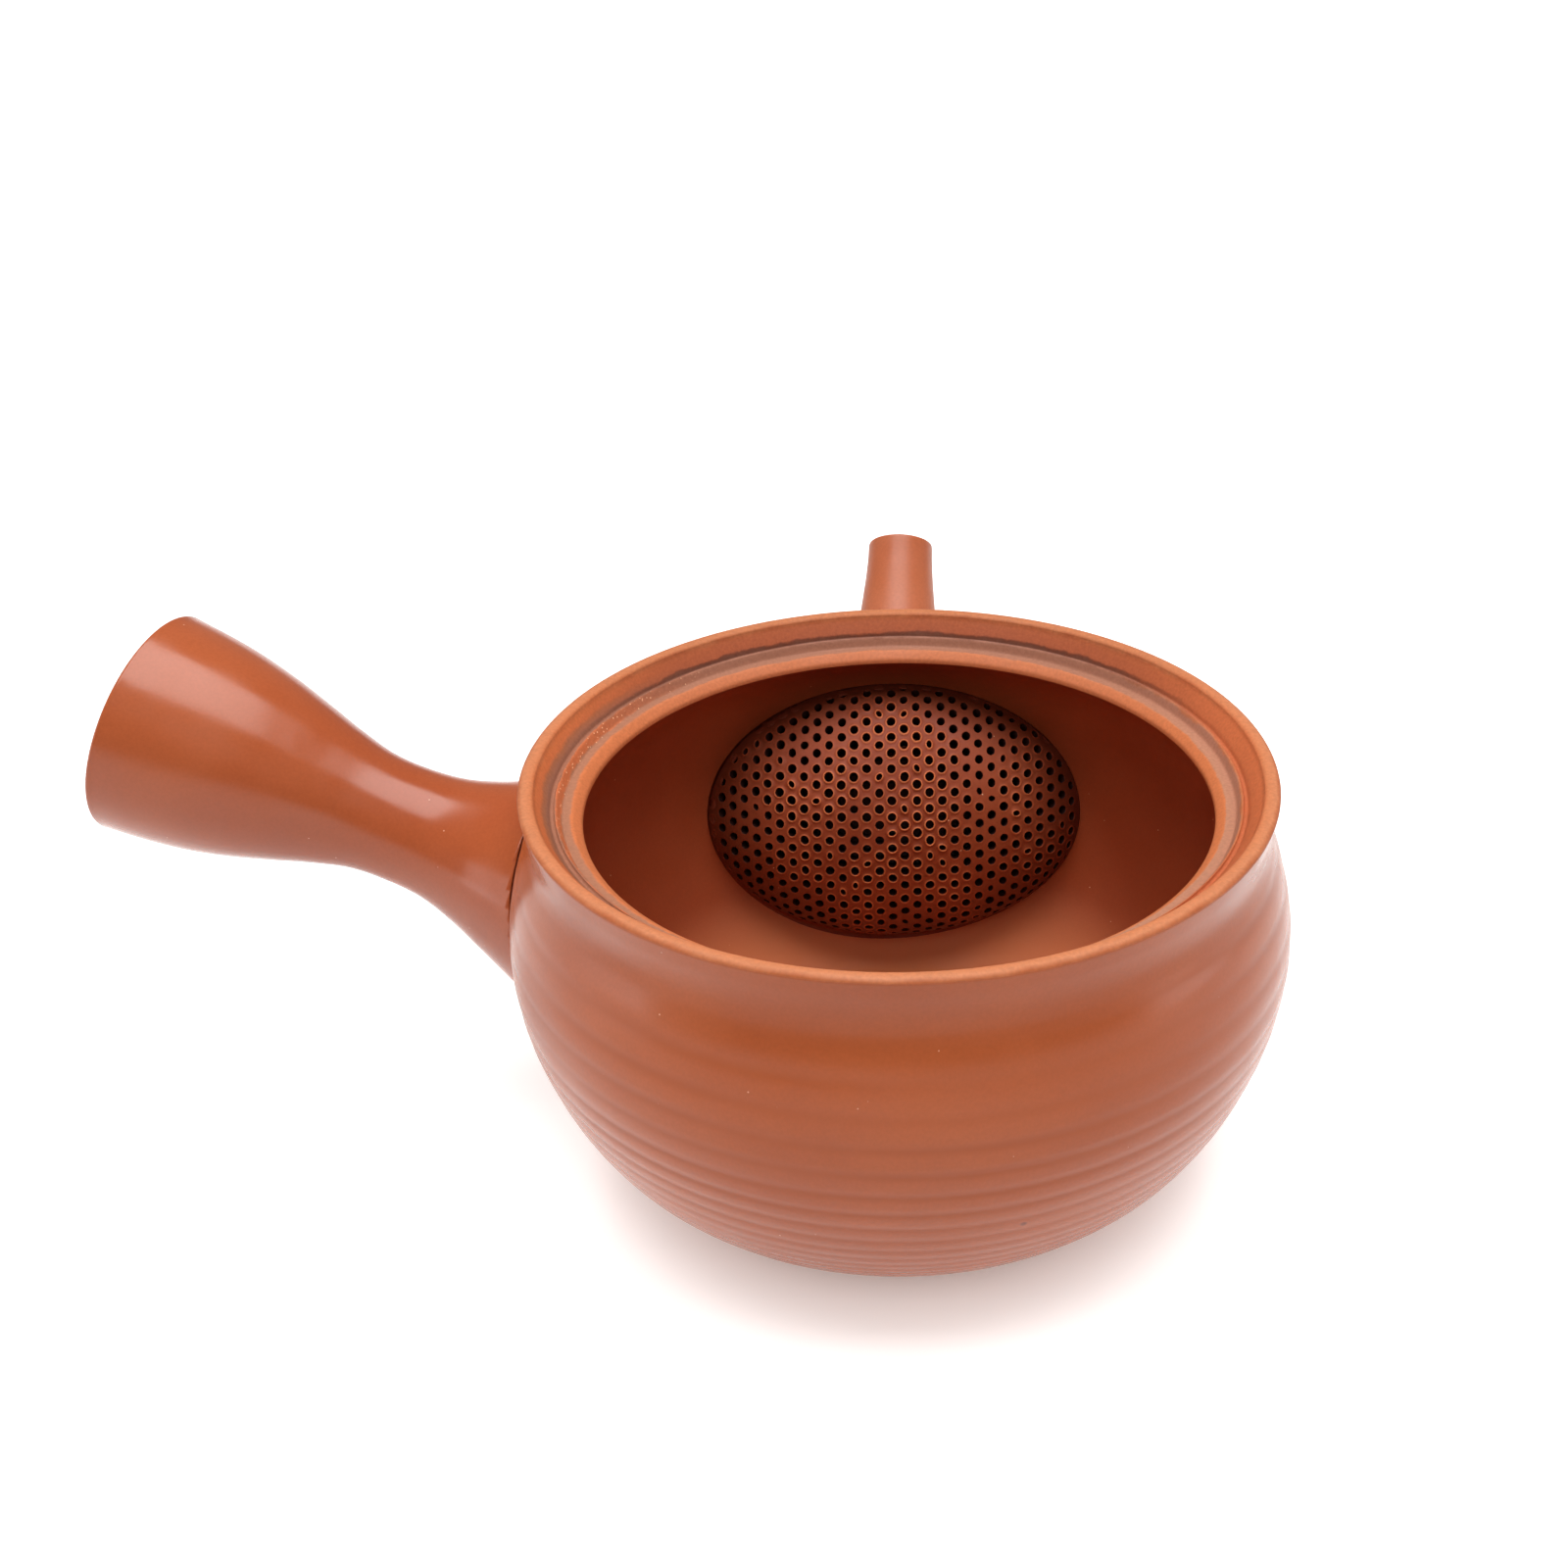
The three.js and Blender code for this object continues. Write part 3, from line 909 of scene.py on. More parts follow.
@dataclass
class LutedTube:
    """A thrown, hollow tube whose root is luted to the outside of the bowl."""

    bowl: Bowl
    name: str
    azimuth: float
    elevation: float
    root: Vector
    root_depth: float
    length: float
    points: Outline
    root_wall: float
    end_wall: float
    sag: float = 0
    sides: int = 120
    step: float = 0.8
    lip_steps: int = 5
    end_rounding: float = 0.4
    seam_gap: float = 0.28
    seam_inset: float = 0.45
    seam_depth: float = 0.3

    def section(self, inset: float) -> Outline:
        """Closed section of the tube: outside, cut end with rounded edges, and bore.

        Args:
            inset: How far the outside is drawn in.

        Returns:
            The section's points, with the axis along Z and the root at height zero.
        """
        outer = [here - at(inset, 0) for here in smooth_curve(self.points, self.step)]
        whole = self.points[-1].z
        bore = [at(here.x + inset - mix(self.root_wall, self.end_wall, here.z / whole), here.z)
                for here in outer]
        size = self.end_rounding
        below = [here for here in outer if here.z < whole - size]
        inner = [here for here in bore if here.z < whole - size]
        edge = arc(at(outer[-1].x - size, whole - size), size, 0, 90, self.lip_steps)
        edge += arc(at(bore[-1].x + size, whole - size), size, 90, 180, self.lip_steps)
        return [*below, *edge, *reversed(inner)]

    def tube(self, inset: float = 0) -> Object:
        """The whole tube in its place, before the bowl cuts its root.

        Args:
            inset: How far the outside is drawn in.

        Returns:
            The tube, sagging a little between its ends.
        """
        shape = spin_outline(self.section(inset), self.sides, closed=True)
        axis = direction(self.azimuth, self.elevation)
        turn = axis.to_track_quat("Z", "Y").to_matrix().to_4x4()
        start = self.root - axis * self.root_depth
        bmesh.ops.transform(shape, matrix=Matrix.Translation(start) @ turn, verts=shape.verts)
        whole = self.root_depth + self.length
        for vertex in shape.verts:
            share = (vertex.co - start).dot(axis) / whole
            vertex.co.z -= 4 * self.sag * share * (1 - share)
        return finish_mesh(shape, self.name)

    def build(self) -> Object:
        """The tube with its root cut to the bowl's skin.

        Returns:
            The tube, without its material.
        """
        tube = self.tube()
        carve(tube, self.bowl.filled(self.seam_gap), Cut.AWAY)
        return tube

    def build_seam(self) -> Object:
        """The film of slip that shows as a fine dark groove between the root and the bowl.

        Returns:
            The film, without its material.
        """
        film = self.tube(self.seam_inset)
        film.name = f"{self.name}_seam"
        carve(film, self.bowl.filled(2 * self.seam_gap), Cut.COMMON)
        carve(film, self.bowl.filled(-self.seam_depth), Cut.AWAY)
        return film


def make_handle(bowl: Bowl) -> LutedTube:
    """The side handle, a hollow trumpet that is open at its far end.

    Args:
        bowl: The bowl that it is luted to.

    Returns:
        The handle's sizes.
    """
    root_radius, waist_radius, end_radius = 17.2, 8.6, 16.3
    root_depth, length, azimuth, elevation, root_rise, wall = 13.6, 59.2, 169.9, 19, 2.3, 2.6
    whole = root_depth + length
    points = flare(root_radius, waist_radius, whole, (
        (0, 0), (0.069, 0.012), (0.125, 0.093), (0.166, 0.233), (0.225, 0.453), (0.302, 0.733),
        (0.38, 0.936), (0.458, 1)))
    points += flare(waist_radius, end_radius, whole, (
        (0.535, 0.032), (0.61, 0.208), (0.689, 0.442), (0.767, 0.662), (0.845, 0.831),
        (0.922, 0.935), (1, 1)))
    root = direction(azimuth, 0) * bowl.belly_radius + Vector((0, 0, bowl.belly_height + root_rise))
    return LutedTube(bowl, "handle", azimuth, elevation, root, root_depth, length, points, wall,
                     wall, sag=0.94, sides=144)


def make_spout(bowl: Bowl) -> LutedTube:
    """The spout, a tube that narrows from a flared root to a short straight tip.

    Args:
        bowl: The bowl that it is luted to.

    Returns:
        The spout's sizes.
    """
    root_radius, tip_radius, root_depth, length, azimuth = 12, 5.4, 20, 29.5, 86
    points = flare(root_radius, tip_radius, root_depth + length, (
        (0, 0), (0.22, 0.06), (0.34, 0.2), (0.44, 0.41), (0.55, 0.62), (0.67, 0.78),
        (0.79, 0.89), (0.92, 0.98), (1, 1)))
    return LutedTube(bowl, "spout", azimuth, bowl.spout_elevation, bowl.spout_root(), root_depth,
                     length, points, root_wall=2.8, end_wall=1.3, sides=96, step=0.6)


class Hole(Enum):
    """What the potter's awl left at a place of the strainer's pattern."""

    OPEN = "pierced"
    PRESSED = "pressed, but closed again"
    NONE = "plain clay"


@dataclass(frozen=True)
class Spot:
    """One place of the strainer's pattern, with what is particular about its hole."""

    across: float
    up: float
    hole: Hole
    radius: float = 0
    burr: float = 0
    squash: float = 1
    turn: float = 0
    slip: Share = (0, 0)

    def on_ring(self, corner: Vector, radius: float, height: float) -> Vector:
        """The point of a ring round the hole that lies towards a corner of its tile.

        Args:
            corner: The corner.
            radius: The ring's radius.
            height: How far the ring lies above the dome's skin.

        Returns:
            The point, measured from the tile's middle.
        """
        angle = math.atan2(corner.y, corner.x) - self.turn
        flat = Vector((radius * math.cos(angle), radius * self.squash * math.sin(angle), height))
        flat.rotate(Matrix.Rotation(self.turn, 3, "Z"))
        return flat + Vector((*self.slip, 0))


@dataclass
class Strainer:
    """The pierced dome inside the bowl, over the inlet of the spout.

    It is a cap of an ellipsoid. Its holes stand in staggered columns, each on a six-sided tile of
    the dome's wall. Most burrs are raised round burr_middle, as far as burr_reach. One hole in
    ten is odd: smaller, flatter and torn up higher. Each row of burr_profile gives a ring's
    distance from the bore in burr widths, its share of the burr's height and how pale it is
    drawn, part the torn clay's own colour and part a painted glint.
    """

    bowl: Bowl
    half_width: float = 31.9
    half_height: float = 21.3
    depth: float = 20
    wall: float = 1.6
    tilt: float = 25
    inset: float = 5.5
    drop: float = 13.3
    side_offset: float = -1.1
    row_pitch: float = 2.33
    column_pitch: float = 1.95
    row_bend: float = 0.6
    parallel_share: float = 0.85
    pattern_width: float = 1.2
    pattern_height: float = 1.6
    pattern_edge: float = 1.5
    tile_sides: int = 6
    tile_merge: float = 0.01
    hole_radius: float = 0.69
    hole_margin: float = 1.1
    least_size: float = 0.95
    size_spread: float = 0.1
    squash_spread: float = 0.12
    slip_spread: float = 0.08
    odd_from: float = 0.9
    odd_size: float = 0.8
    odd_burr: float = 1.5
    odd_squash: float = 0.75
    edge_depth: float = 0.08
    burr_width: float = 0.11
    burr_foot: float = 2.6
    burr_height: float = 0.27
    burr_least: float = 0.45
    burr_spread: float = 0.8
    burr_drift: float = 4
    burr_middle: Share = (1, -1)
    burr_reach: Share = (20, 14)
    burr_profile: tuple[tuple[float, float, float], ...] = (
        (1, 1, 1), (1 / 3, 0.9, 1), (0, 0.4, 0.5))
    dimple: tuple[Share, Share] = ((1.3, 0), (0.5, 0.125))
    # Painted shade: the share of the dome's face that stays free of it, how dark the dome's edge
    # gets, how far out behind the dome the wall is darkened, and how far outside the inner wall a
    # point may lie to be darkened
    unshaded_share: float = 0.5
    edge_shade: float = 0.6
    wall_shade_reach: float = 0.93
    wall_shade_depth: float = 1
    seam_steps: int = 120
    seam_points: int = 6
    seam_back: float = 1.2
    seam_sink: float = 0.12
    seam_toe: float = 1.3
    wide_seam: float = 2.6
    fine_seam: float = 0.9
    meeting_angles: Share = (40, 115)
    meeting_tries: int = 24
    seed: int = 11

    def axes(self) -> tuple[Vector, Vector, Vector]:
        """The dome's own axes.

        Returns:
            Directions across the dome, up along it, and out of it into the bowl.
        """
        out = direction(-90, self.tilt)
        across = Vector((1, 0, 0))
        return across, out.cross(across), out

    def centre(self) -> Vector:
        """Middle of the ellipsoid that the dome is a cap of."""
        root = self.bowl.spout_root()
        return Vector((self.side_offset, self.bowl.belly_radius - self.bowl.wall - self.inset,
                       root.z - self.drop))

    def place(self, local: Vector, height: float) -> Vector:
        """A point over the dome.

        Args:
            local: The point's direction on a unit ball: across, up and out.
            height: How far it lies above the dome's skin.

        Returns:
            The point in the teapot's frame.
        """
        sizes = Vector((self.half_width, self.half_height, self.depth))
        normal = Vector((local.x / sizes.x, local.y / sizes.y, local.z / sizes.z)).normalized()
        spot = local * sizes + normal * height
        across, up, out = self.axes()
        return self.centre() + across * spot.x + up * spot.y + out * spot.z

    def round_top(self, turn: float, angle: float, height: float = 0) -> Vector:
        """A point over the dome, at an angle from its top in one direction.

        Args:
            turn: Direction on the dome's face, in radians from across.
            angle: The angle from the top, in radians.
            height: How far the point lies above the dome's skin.

        Returns:
            The point in the teapot's frame.
        """
        return self.place(Vector((math.sin(angle) * math.cos(turn),
                                  math.sin(angle) * math.sin(turn), math.cos(angle))), height)

    def on_dome(self, across: float, up: float, height: float) -> Vector:
        """Bends a place of the flat pattern of holes onto the dome.

        Args:
            across: Millimetres across the pattern.
            up: Millimetres up the pattern.
            height: How far the point lies above the dome's skin.

        Returns:
            The point in the teapot's frame.
        """
        share = Vector((across / self.half_width,
                        math.sin(self.row_bend * up / self.half_height) / math.sin(self.row_bend)))
        reach = share.length
        edge = math.asin(self.parallel_share)
        turn = math.asin(reach) if reach < self.parallel_share else (
            edge + (reach - self.parallel_share) / math.cos(edge))
        side = share.normalized() * math.sin(turn) if reach else share
        return self.place(Vector((side.x, side.y, math.cos(turn))), height)

    def clearance(self, across: float, up: float) -> float:
        """How far a place of the pattern lies inside the bowl's inner wall."""
        spot = self.on_dome(across, up, 0)
        return self.bowl.inside_radius(spot.z) - spot.xy.length

    def spots(self) -> Iterable[Spot]:
        """Lays out the pattern of holes.

        Returns:
            Every place of the pattern that the dome has clay for.
        """
        draw = random.Random(self.seed)
        columns = math.ceil(self.pattern_width * self.half_width / self.column_pitch)
        rows = math.ceil(self.pattern_height * self.half_height / self.row_pitch)
        for column in range(-columns, columns + 1):
            for row in range(-rows, rows + 1):
                across = column * self.column_pitch
                up = (row + (0.5 if column % 2 else 0)) * self.row_pitch
                chance = [draw.random() for _ in range(6)]
                room = self.clearance(across, up)
                reach = math.hypot(across / self.half_width, up / self.half_height)
                if room < -self.row_pitch / 2 or reach > self.pattern_edge:
                    continue
                if room < self.hole_margin:
                    yield Spot(across, up, Hole.NONE)
                elif room < self.hole_margin + self.row_pitch / 4 and up > 0:
                    yield Spot(across, up, Hole.PRESSED, self.hole_radius)
                else:
                    yield self.pierced(across, up, chance)

    def pierced(self, across: float, up: float, chance: list[float]) -> Spot:
        """A pierced hole with the burr, size and slant that the awl gave it.

        Args:
            across: Millimetres across the pattern.
            up: Millimetres up the pattern.
            chance: Six seeded random numbers from 0 to 1.

        Returns:
            The hole.
        """
        raised = noise.noise(Vector((across, up, 0)) / (self.burr_drift * self.row_pitch))
        away = math.hypot((across - self.burr_middle[0]) / self.burr_reach[0],
                          (up - self.burr_middle[1]) / self.burr_reach[1])
        torn = math.exp(-away * away) * (self.burr_least + self.burr_spread * chance[0])
        burr = self.burr_height * clamp(torn + raised)
        size = self.least_size + self.size_spread * chance[2]
        squash = 1 - self.squash_spread * chance[3]
        if chance[1] > self.odd_from:
            size, squash, burr = self.odd_size, self.odd_squash, burr * self.odd_burr
        return Spot(across, up, Hole.OPEN, self.hole_radius * size, burr, squash,
                    turn=math.pi * chance[4], slip=(self.slip_spread * (chance[5] - 0.5),
                                                    self.slip_spread * (chance[4] - 0.5)))

    def tile(self, spot: Spot) -> BMesh:
        """A six-sided tile of the dome's wall round one hole, still flat.

        Args:
            spot: The place and its hole.

        Returns:
            The tile, whose border fits its neighbours' borders.
        """
        tile = bmesh.new()
        spoke = tile.verts.layers.int.new(ZONE)
        painted_light = tile.verts.layers.float.new(PAINTED_LIGHT)
        half_row = self.row_pitch / 2
        bmesh.ops.create_circle(tile, segments=self.tile_sides, radius=1,
                                matrix=Matrix.Rotation(math.radians(90), 4, "Z"))
        tip = (self.column_pitch ** 2 + half_row ** 2) / (2 * self.column_pitch)
        side = tip - half_row ** 2 / self.column_pitch
        for corner in tile.verts:
            level = abs(corner.co.y) < MERGE
            corner.co.x = math.copysign(tip if level else side, corner.co.x)
            corner.co.y = 0 if level else math.copysign(half_row, corner.co.y)
        bmesh.ops.subdivide_edges(tile, edges=tile.edges, cuts=1)
        tile.verts.ensure_lookup_table()
        border = [vertex.co.copy() for vertex in tile.verts]
        for number, vertex in enumerate(tile.verts):
            vertex[spoke] = number
        edges = list(tile.edges)
        underside = Vector((0, 0, -self.wall))
        if spot.hole is Hole.OPEN:
            rings = self.hole_rings(spot, half_row)
        else:
            back = bmesh.ops.duplicate(tile, geom=[*tile.verts, *edges])["geom"]
            low = [part for part in back if isinstance(part, BMVert)]
            bmesh.ops.translate(tile, vec=underside, verts=low)
            low_rim = [part for part in back if isinstance(part, BMEdge)]
            rings = [(spot.radius * size, -self.wall * depth, 0) for size, depth in self.dimple
                     if spot.hole is Hole.PRESSED]
        for radius, height, mark in rings:
            edges, fresh = extrude_ring(tile, edges)
            for vertex in fresh:
                vertex.co = spot.on_ring(border[vertex[spoke]], radius, height)
                vertex[painted_light] = mark
        if spot.hole is Hole.OPEN:
            for vertex in extrude_ring(tile, edges)[1]:
                vertex.co = border[vertex[spoke]] + underside
                vertex[painted_light] = 0
        else:
            for loop in (edges, low_rim):
                made = bmesh.ops.contextual_create(tile, geom=loop)["faces"]
                bmesh.ops.poke(tile, faces=made)
        bmesh.ops.translate(tile, vec=(spot.across, spot.up, 0), verts=tile.verts)
        return tile

    def hole_rings(self, spot: Spot, half_row: float) -> list[tuple[float, float, float]]:
        """Rings of a pierced hole, from the foot of its burr over the crest and down its bore.

        Args:
            spot: The hole.
            half_row: Half of the rows' pitch, which the burr's foot stays inside.

        Returns:
            Radius, height and mark of each ring. The burr's crest is drawn paler, part the torn
            clay's own colour and part a painted glint, and the bore is drawn dark as painted shade.
        """
        foot = min(spot.radius + self.burr_foot * self.burr_width, half_row - self.burr_width)
        # The higher the burr, the paler its crest is drawn: part the torn clay's colour, part a
        # painted glint
        crest_tint_and_glint = clamp(spot.burr / self.burr_height)
        crest = [(spot.radius + self.burr_width * out, spot.burr * rise, crest_tint_and_glint * tint_and_glint)
                 for out, rise, tint_and_glint in self.burr_profile]
        bore = [(spot.radius, -depth, -1) for depth in (self.edge_depth, self.wall / 3, self.wall)]
        return [(foot, 0, 0), *crest, *bore]

    def build(self) -> Object:
        """Lays the tiles side by side, joins them and bends them onto the dome.

        Returns:
            The pierced dome, without its material.
        """
        shape = bmesh.new()
        part = bpy.data.meshes.new("tile")
        count = 0
        for spot in self.spots():
            tile = self.tile(spot)
            tile.to_mesh(part)
            tile.free()
            shape.from_mesh(part)
            count += spot.hole is Hole.OPEN
        bpy.data.meshes.remove(part)
        bmesh.ops.remove_doubles(shape, verts=shape.verts, dist=self.tile_merge)
        border = [edge for edge in shape.edges if edge.is_boundary]
        bmesh.ops.bridge_loops(shape, edges=border)
        painted_light = shape.verts.layers.float[PAINTED_LIGHT]
        for vertex in shape.verts:
            # The dome is drawn darker towards its edge, as painted shade
            out = math.hypot(vertex.co.x / self.half_width, vertex.co.y / self.half_height)
            painted_shade = self.edge_shade * ease((out - self.unshaded_share) / (1 - self.unshaded_share))
            vertex[painted_light] = max(vertex[painted_light] - painted_shade, -1)
            vertex.co = self.on_dome(*vertex.co)
        bmesh.ops.recalc_face_normals(shape, faces=shape.faces)
        log.info("strainer: %d holes", count)
        return finish_mesh(shape, "strainer")

    def shade_wall_behind_dome(self, wall: Object) -> None:
        """Marks the bowl's wall behind the dome for painted shade, so that the hollow behind it is
        drawn dark.

        Args:
            wall: The finished bowl.
        """
        across, up, out = self.axes()
        marks = wall.data.attributes[PAINTED_LIGHT].data
        for vertex, mark in zip(wall.data.vertices, marks):
            spot = vertex.co / MM
            away = spot - self.centre()
            share = Vector((away.dot(across) / self.half_width, away.dot(up) / self.half_height,
                            away.dot(out) / self.depth)).length
            skin = self.bowl.inside_radius(spot.z) + self.wall_shade_depth
            if share < self.wall_shade_reach and spot.xy.length < skin:
                mark.value = -1

    def meeting(self, turn: float) -> float:
        """Angle from the dome's top at which its skin meets the bowl's wall, in one direction.

        Args:
            turn: Direction on the dome's face, in radians from across.

        Returns:
            The angle in radians.
        """
        low, high = (math.radians(angle) for angle in self.meeting_angles)
        for _ in range(self.meeting_tries):
            middle = (low + high) / 2
            spot = self.round_top(turn, middle)
            if spot.xy.length < self.bowl.inside_radius(spot.z):
                low = middle
            else:
                high = middle
        return low

    def build_seam(self) -> Object:
        """The smoothed fillet of slip between the dome and the bowl's wall.

        It is wide on the dome's left and thin on its right and at its bottom.

        Returns:
            The seam, without its material.
        """
        sections = [self.seam_section(TURN * step / self.seam_steps)
                    for step in range(self.seam_steps)]
        shape = bmesh.new()
        number = shape.verts.layers.int.new(ZONE)
        first = [shape.verts.new(spot) for spot in sections[0]]
        edges = [shape.edges.new(pair) for pair in zip(first, first[1:] + first[:1])]
        for place, vertex in enumerate(first):
            vertex[number] = place
        for section in [*sections[1:], sections[0]]:
            edges, fresh = extrude_ring(shape, edges)
            for vertex in fresh:
                vertex.co = section[vertex[number]]
        bmesh.ops.remove_doubles(shape, verts=shape.verts, dist=MERGE)
        bmesh.ops.recalc_face_normals(shape, faces=shape.faces)
        return finish_mesh(shape, "strainer_seam")

    def seam_section(self, turn: float) -> Outline:
        """Closed section of the seam in one direction of the dome's face.

        Args:
            turn: That direction, in radians from across.

        Returns:
            The section's points.
        """
        angle = self.meeting(turn)
        meet = self.round_top(turn, angle)
        size = mix(self.fine_seam, self.wide_seam, ease((1 - math.cos(turn)) / 2))
        radius = (meet - self.centre()).length
        foot = self.round_top(turn, angle - size / radius)
        start = self.round_top(turn, angle - self.seam_toe * size / radius, -self.seam_sink)
        away = (meet - foot).normalized()
        wall = self.on_wall(meet + away * size, 0)
        end = self.on_wall(meet + away * (self.seam_toe * size), self.seam_sink)
        curve = [foot.lerp(meet, share).lerp(meet.lerp(wall, share), share)
                 for share in (step / self.seam_points for step in range(self.seam_points + 1))]
        back = meet.copy()
        back.xy = back.xy.normalized() * (back.xy.length + self.seam_back)
        return [start, *curve, end, back]

    def on_wall(self, spot: Vector, sink: float) -> Vector:
        """A spot moved level to the bowl's inner wall, or sunk into it.

        Args:
            spot: The spot.
            sink: How far it is sunk.

        Returns:
            Its new place.
        """
        moved = spot.copy()
        moved.xy = spot.xy.normalized() * (self.bowl.inside_radius(spot.z) + sink)
        return moved


@dataclass(frozen=True)
class Lamp:
    """A square softbox that faces the bowl."""

    name: str
    place: tuple[float, float, float]
    size: float
    power: float
    mirrored: bool = True
    aim_height: float = 40

    def hang(self) -> None:
        """Adds the lamp to the scene."""
        light = bpy.data.lights.new(self.name, "AREA")
        light.size = self.size * MM
        light.energy = self.power
        made = bpy.data.objects.new(self.name, light)
        place = Vector(self.place)
        made.location = place * MM
        aim = place - Vector((0, 0, self.aim_height))
        made.rotation_euler = aim.to_track_quat("Z", "Y").to_euler()
        made.visible_glossy = self.mirrored
        bpy.context.scene.collection.objects.link(made)


@dataclass
class Studio:
    """White table, soft studio light and the camera of the photograph.

    Each row of glow gives a distance from the table's middle, how bright the table looks there
    beyond its lit colour, and how much of that is warm light from the clay. The glow is weakest
    next to the foot, which paints part of the shadow there, and its warm share is painted bounce
    light from the clay.
    """

    lens: float = 38.25
    tilt: float = 29.48
    roll: float = -0.52
    distance: float = 194.9
    camera_height: float = 167.1
    shift: float = -0.0732
    table_size: float = 4000
    table_colour: str = "#f0eeec"
    glow: tuple[tuple[float, float, float], ...] = (
        (33, 0.21, 0.24), (46, 0.6, 0.04), (60, 0.58, 0.02), (100, 0.5, 0), (300, 0.5, 0),
        (700, 0.7, 0), (2000, 1, 0))
    blue_loss: float = 1.4
    room_light: float = 0.22
    backdrop_foot: float = 0.04
    lamps: tuple[Lamp, ...] = (
        Lamp("softbox", (0, 0, 750), 640, 7),
        Lamp("front_fill", (0, -560, 540), 350, 1, mirrored=False),
        Lamp("left_card", (-600, -100, 110), 300, 0.75),
        Lamp("right_card", (600, -100, 110), 300, 0.75))

    def place_camera(self) -> None:
        """Puts the camera where the photograph was taken from and makes it the scene's."""
        lens = bpy.data.cameras.new("camera")
        lens.lens = self.lens
        lens.shift_x = self.shift
        camera = bpy.data.objects.new("camera", lens)
        camera.location = Vector((0, -self.distance, self.camera_height)) * MM
        aim = Matrix.Rotation(math.radians(90 - self.tilt), 4, "X")
        camera.rotation_euler = (aim @ Matrix.Rotation(math.radians(self.roll), 4, "Z")).to_euler()
        bpy.context.scene.collection.objects.link(camera)
        bpy.context.scene.camera = camera

    def table_material(self) -> Material:
        """White laminate. The camera and mirrors see it near white, and it keeps the shadow.

        Returns:
            The new material.
        """
        made = bpy.data.materials.new("white_laminate")
        tree = empty_tree(made)
        rays = add(tree, "LightPath").outputs
        seen: Source = rays["Is Camera Ray"]
        for other in (rays["Is Glossy Ray"], rays["Is Transmission Ray"]):
            seen = add(tree, "Math", {0: seen, 1: other}, operation="MAXIMUM")
        matt = add(tree, "BsdfDiffuse", {"Color": linear(self.table_colour)})
        place = add(tree, "TexCoord").outputs["Object"]
        away = add(tree, "VectorMath", {0: place}, operation="LENGTH")
        reach = self.glow[-1][0]
        share = add(tree, "MapRange", {"Value": away, "From Max": reach * MM})
        sweep = add(tree, "ValToRGB", {"Fac": share}, stops=[
            (distance / reach, (strength, strength * (1 - warmth),
                                strength * (1 - self.blue_loss * warmth), 1))
            for distance, strength, warmth in self.glow])
        lifted = add(tree, "AddShader", {0: matt, 1: add(tree, "Emission", {"Color": sweep})})
        choice = add(tree, "MixShader", {0: seen, 1: matt, 2: lifted})
        add(tree, "OutputMaterial", {"Surface": choice})
        return made

    def room(self) -> World:
        """The dim studio, with a white backdrop for the camera and for what is seen through glass.

        Mirrors see only the backdrop's foot, because the room over it is dark in the photograph.

        Returns:
            The new world.
        """
        made = bpy.data.worlds.new("studio")
        tree = empty_tree(made)
        rays = add(tree, "LightPath").outputs
        way = add(tree, "SeparateXYZ", {"Vector": add(tree, "TexCoord").outputs["Generated"]})
        foot = add(tree, "MapRange", {
            "Value": way.outputs["Z"], "From Min": self.backdrop_foot, "From Max": 0.0})
        mirrored = add(tree, "Math", {0: rays["Is Glossy Ray"], 1: foot}, operation="MULTIPLY")
        seen: Source = rays["Is Camera Ray"]
        for other in (rays["Is Transmission Ray"], mirrored):
            seen = add(tree, "Math", {0: seen, 1: other}, operation="MAXIMUM")
        strength = add(tree, "MapRange", {"Value": seen, "To Min": self.room_light})
        back = add(tree, "Background", {"Color": linear("#ffffff"), "Strength": strength})
        add(tree, "OutputWorld", {"Surface": back})
        return made

    def build(self) -> None:
        """Builds the table, the world and the lamps."""
        shape = bmesh.new()
        bmesh.ops.create_grid(shape, x_segments=1, y_segments=1, size=self.table_size)
        table = finish_mesh(shape, "table")
        table.data.materials.append(self.table_material())
        table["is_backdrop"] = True
        bpy.context.scene.world = self.room()
        for lamp in self.lamps:
            lamp.hang()


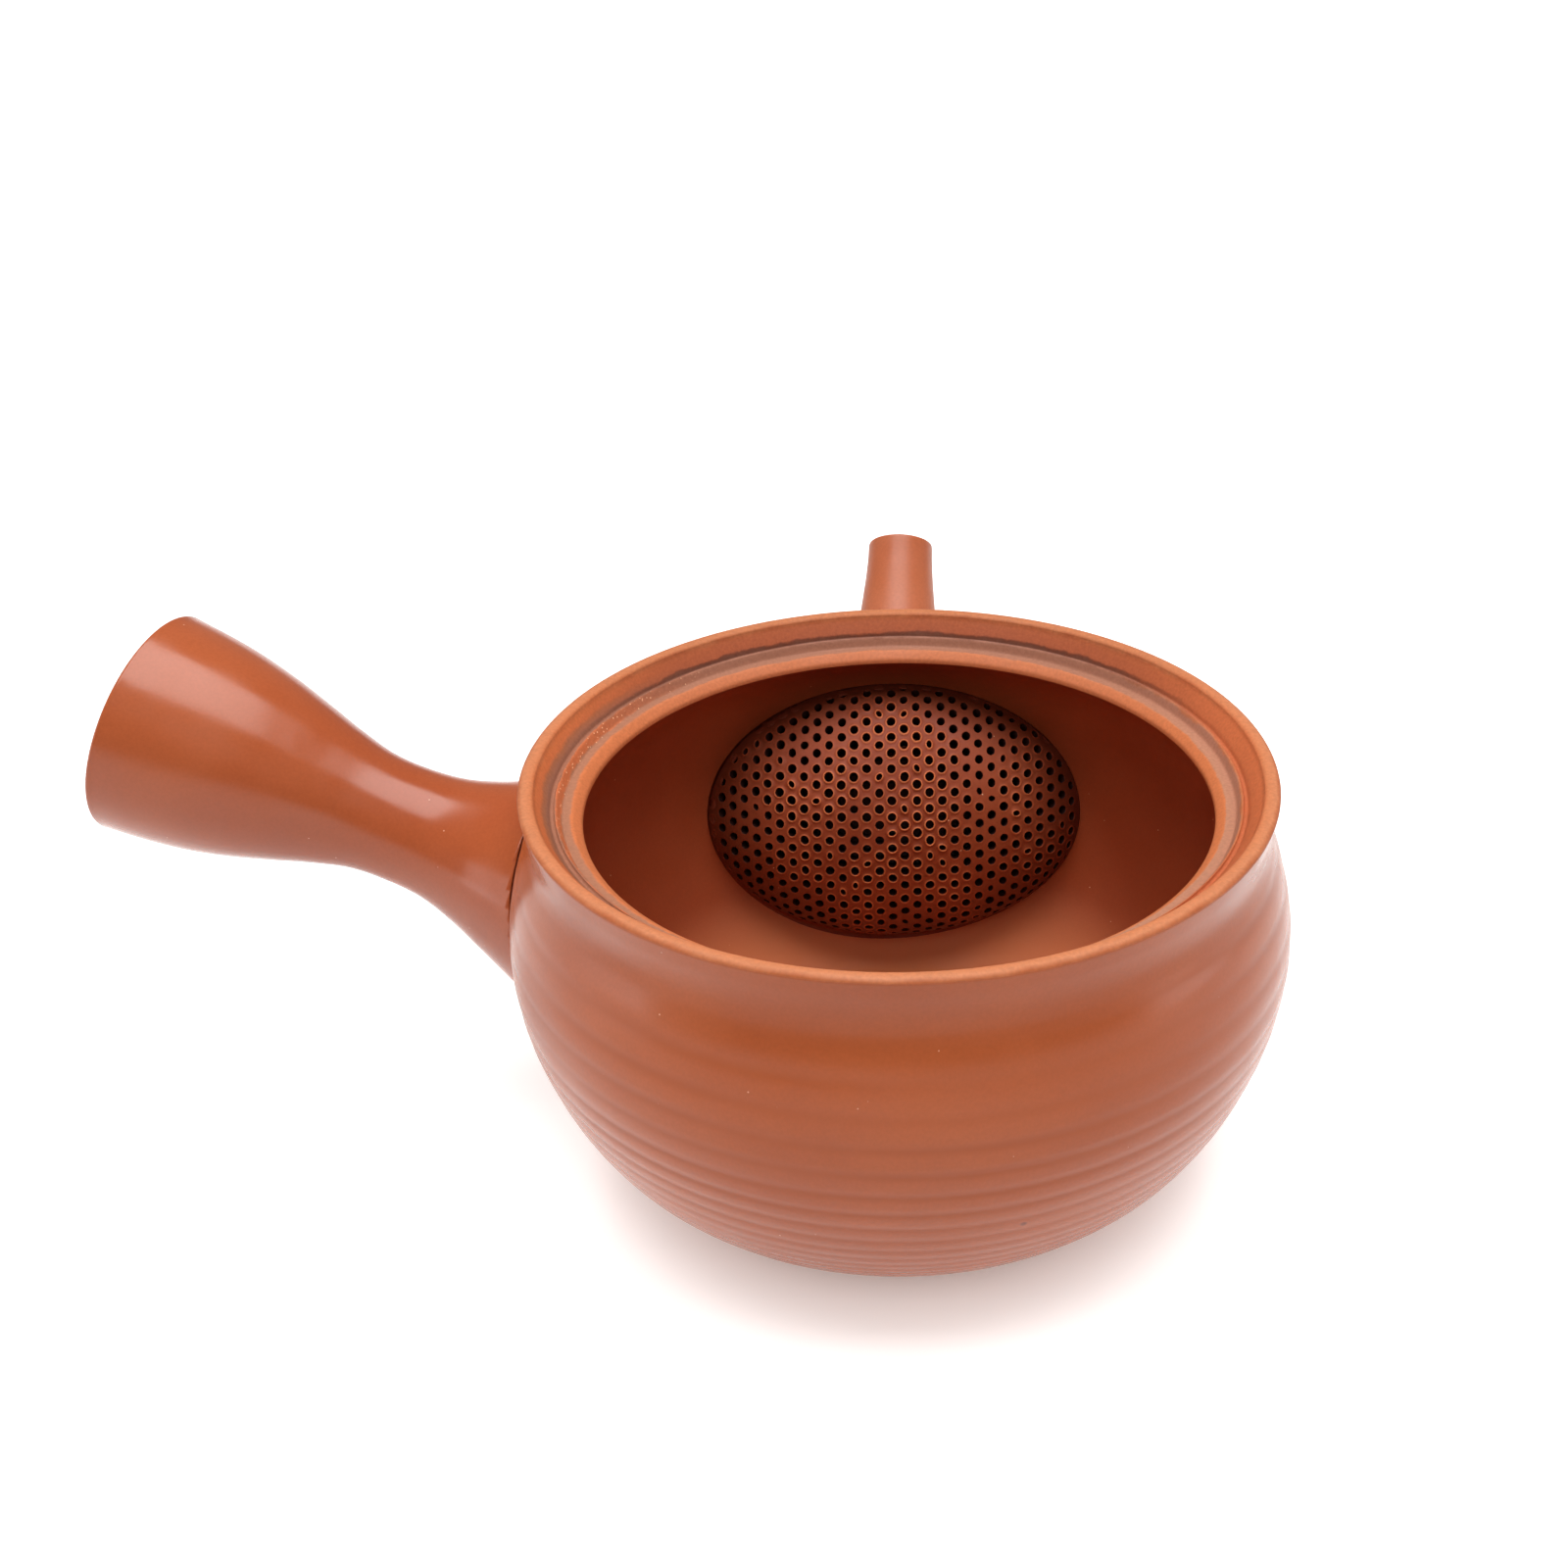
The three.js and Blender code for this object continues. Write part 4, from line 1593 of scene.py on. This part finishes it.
def main() -> None:
    """Builds the studio and the teapot's pieces in order."""
    logging.basicConfig(level=logging.INFO, format="%(message)s")
    bpy.context.scene.view_settings.view_transform = "Standard"
    studio = Studio()
    studio.place_camera()
    studio.build()

    # Red stoneware, burnished on the wheel with a smooth tool: an even sheen with soft lights; the
    # grooves of its throwing rings are drawn darker as painted shade
    burnished = MarkedClay("burnished_red_clay", "#a7522a", "#a14d26", "#ad572e", 0.24,
                           roughness_spread=0.03, ior=1.36, chip=(14.2, -49.5, 25.3))
    # The same clay where lids have ground it: matt, with grey-brown rings and bright scratches, and
    # painted light and shade that make its sides lighter and its back and crease darker
    ground = GalleryClay("ground_gallery_clay_with_painted_light", "#b3592e", "#ac5229", "#b96035", 0.6,
                         grain_depth=0.02, grain_spread=0.1, grain_detail=3, ior=1.35)
    # The inside, wiped with a wet sponge: matt, with painted light that makes it paler towards its
    # floor and painted shade on the wall behind the dome
    wiped = MarkedClay("wiped_red_clay", "#994422", "#913d1d", "#a04a27", 0.55,
                       painted_light_colour="#c87042")
    # The handle, burnished and then polished by hands: the strongest sheen of the pot
    polished = Clay("polished_red_clay", "#a4502a", "#9e4a26", "#a9552f", 0.22,
                    roughness_spread=0.04)
    # The spout, smoothed with a damp cloth: paler and satin
    satin = Clay("satin_red_clay", "#b0603c", "#a95835", "#b56643", 0.42)
    # The dome, pierced from outside with an awl: matt and dark, with painted shade in its bores and
    # towards its edge, and burr crests drawn paler, part the torn clay's colour and part a painted
    # glint
    pierced = MarkedClay("pierced_red_clay", "#83361a", "#782f16", "#8d3f20", 0.6,
                         ior=1.33, painted_light_colour="#cc6e40")
    # Slip smoothed with a wet brush round the dome: matt and without grit, drawn dark as painted
    # shade to match the dome's shaded edge
    edge_slip = Clay("wet_smoothed_slip", "#6a2b18", "#602514", "#73311c", 0.6, ior=1.33,
                     speck_amount=0)
    # Slip that dried in the joints of handle and spout: dark and dull
    slip = Clay("dried_slip", "#7c3a26", "#70321f", "#86422d", 0.8).material()

    bowl = Bowl()
    strainer = Strainer(bowl)
    made = bowl.build()
    # The wall behind the dome is marked for painted shade
    strainer.shade_wall_behind_dome(made)
    report(made, "burnished_body_clay", "body", burnished.material(), ground.material(),
           wiped.material())
    for part, finish, slot in ((make_handle(bowl), polished, "polished_handle_clay"),
                               (make_spout(bowl), satin, "polished_spout_clay")):
        report(part.build(), slot, part.name, finish.material())
        report(part.build_seam(), "dried_slip", f"{part.name}_slip_joint", slip)
    report(strainer.build(), "pierced_strainer_clay", "strainer", pierced.material())
    report(strainer.build_seam(), "dried_slip", "strainer_slip_joint", edge_slip.material())

    box = [list(corner) for corner in (*cad_box, *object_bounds())]


if __name__ == "__main__":
    main()
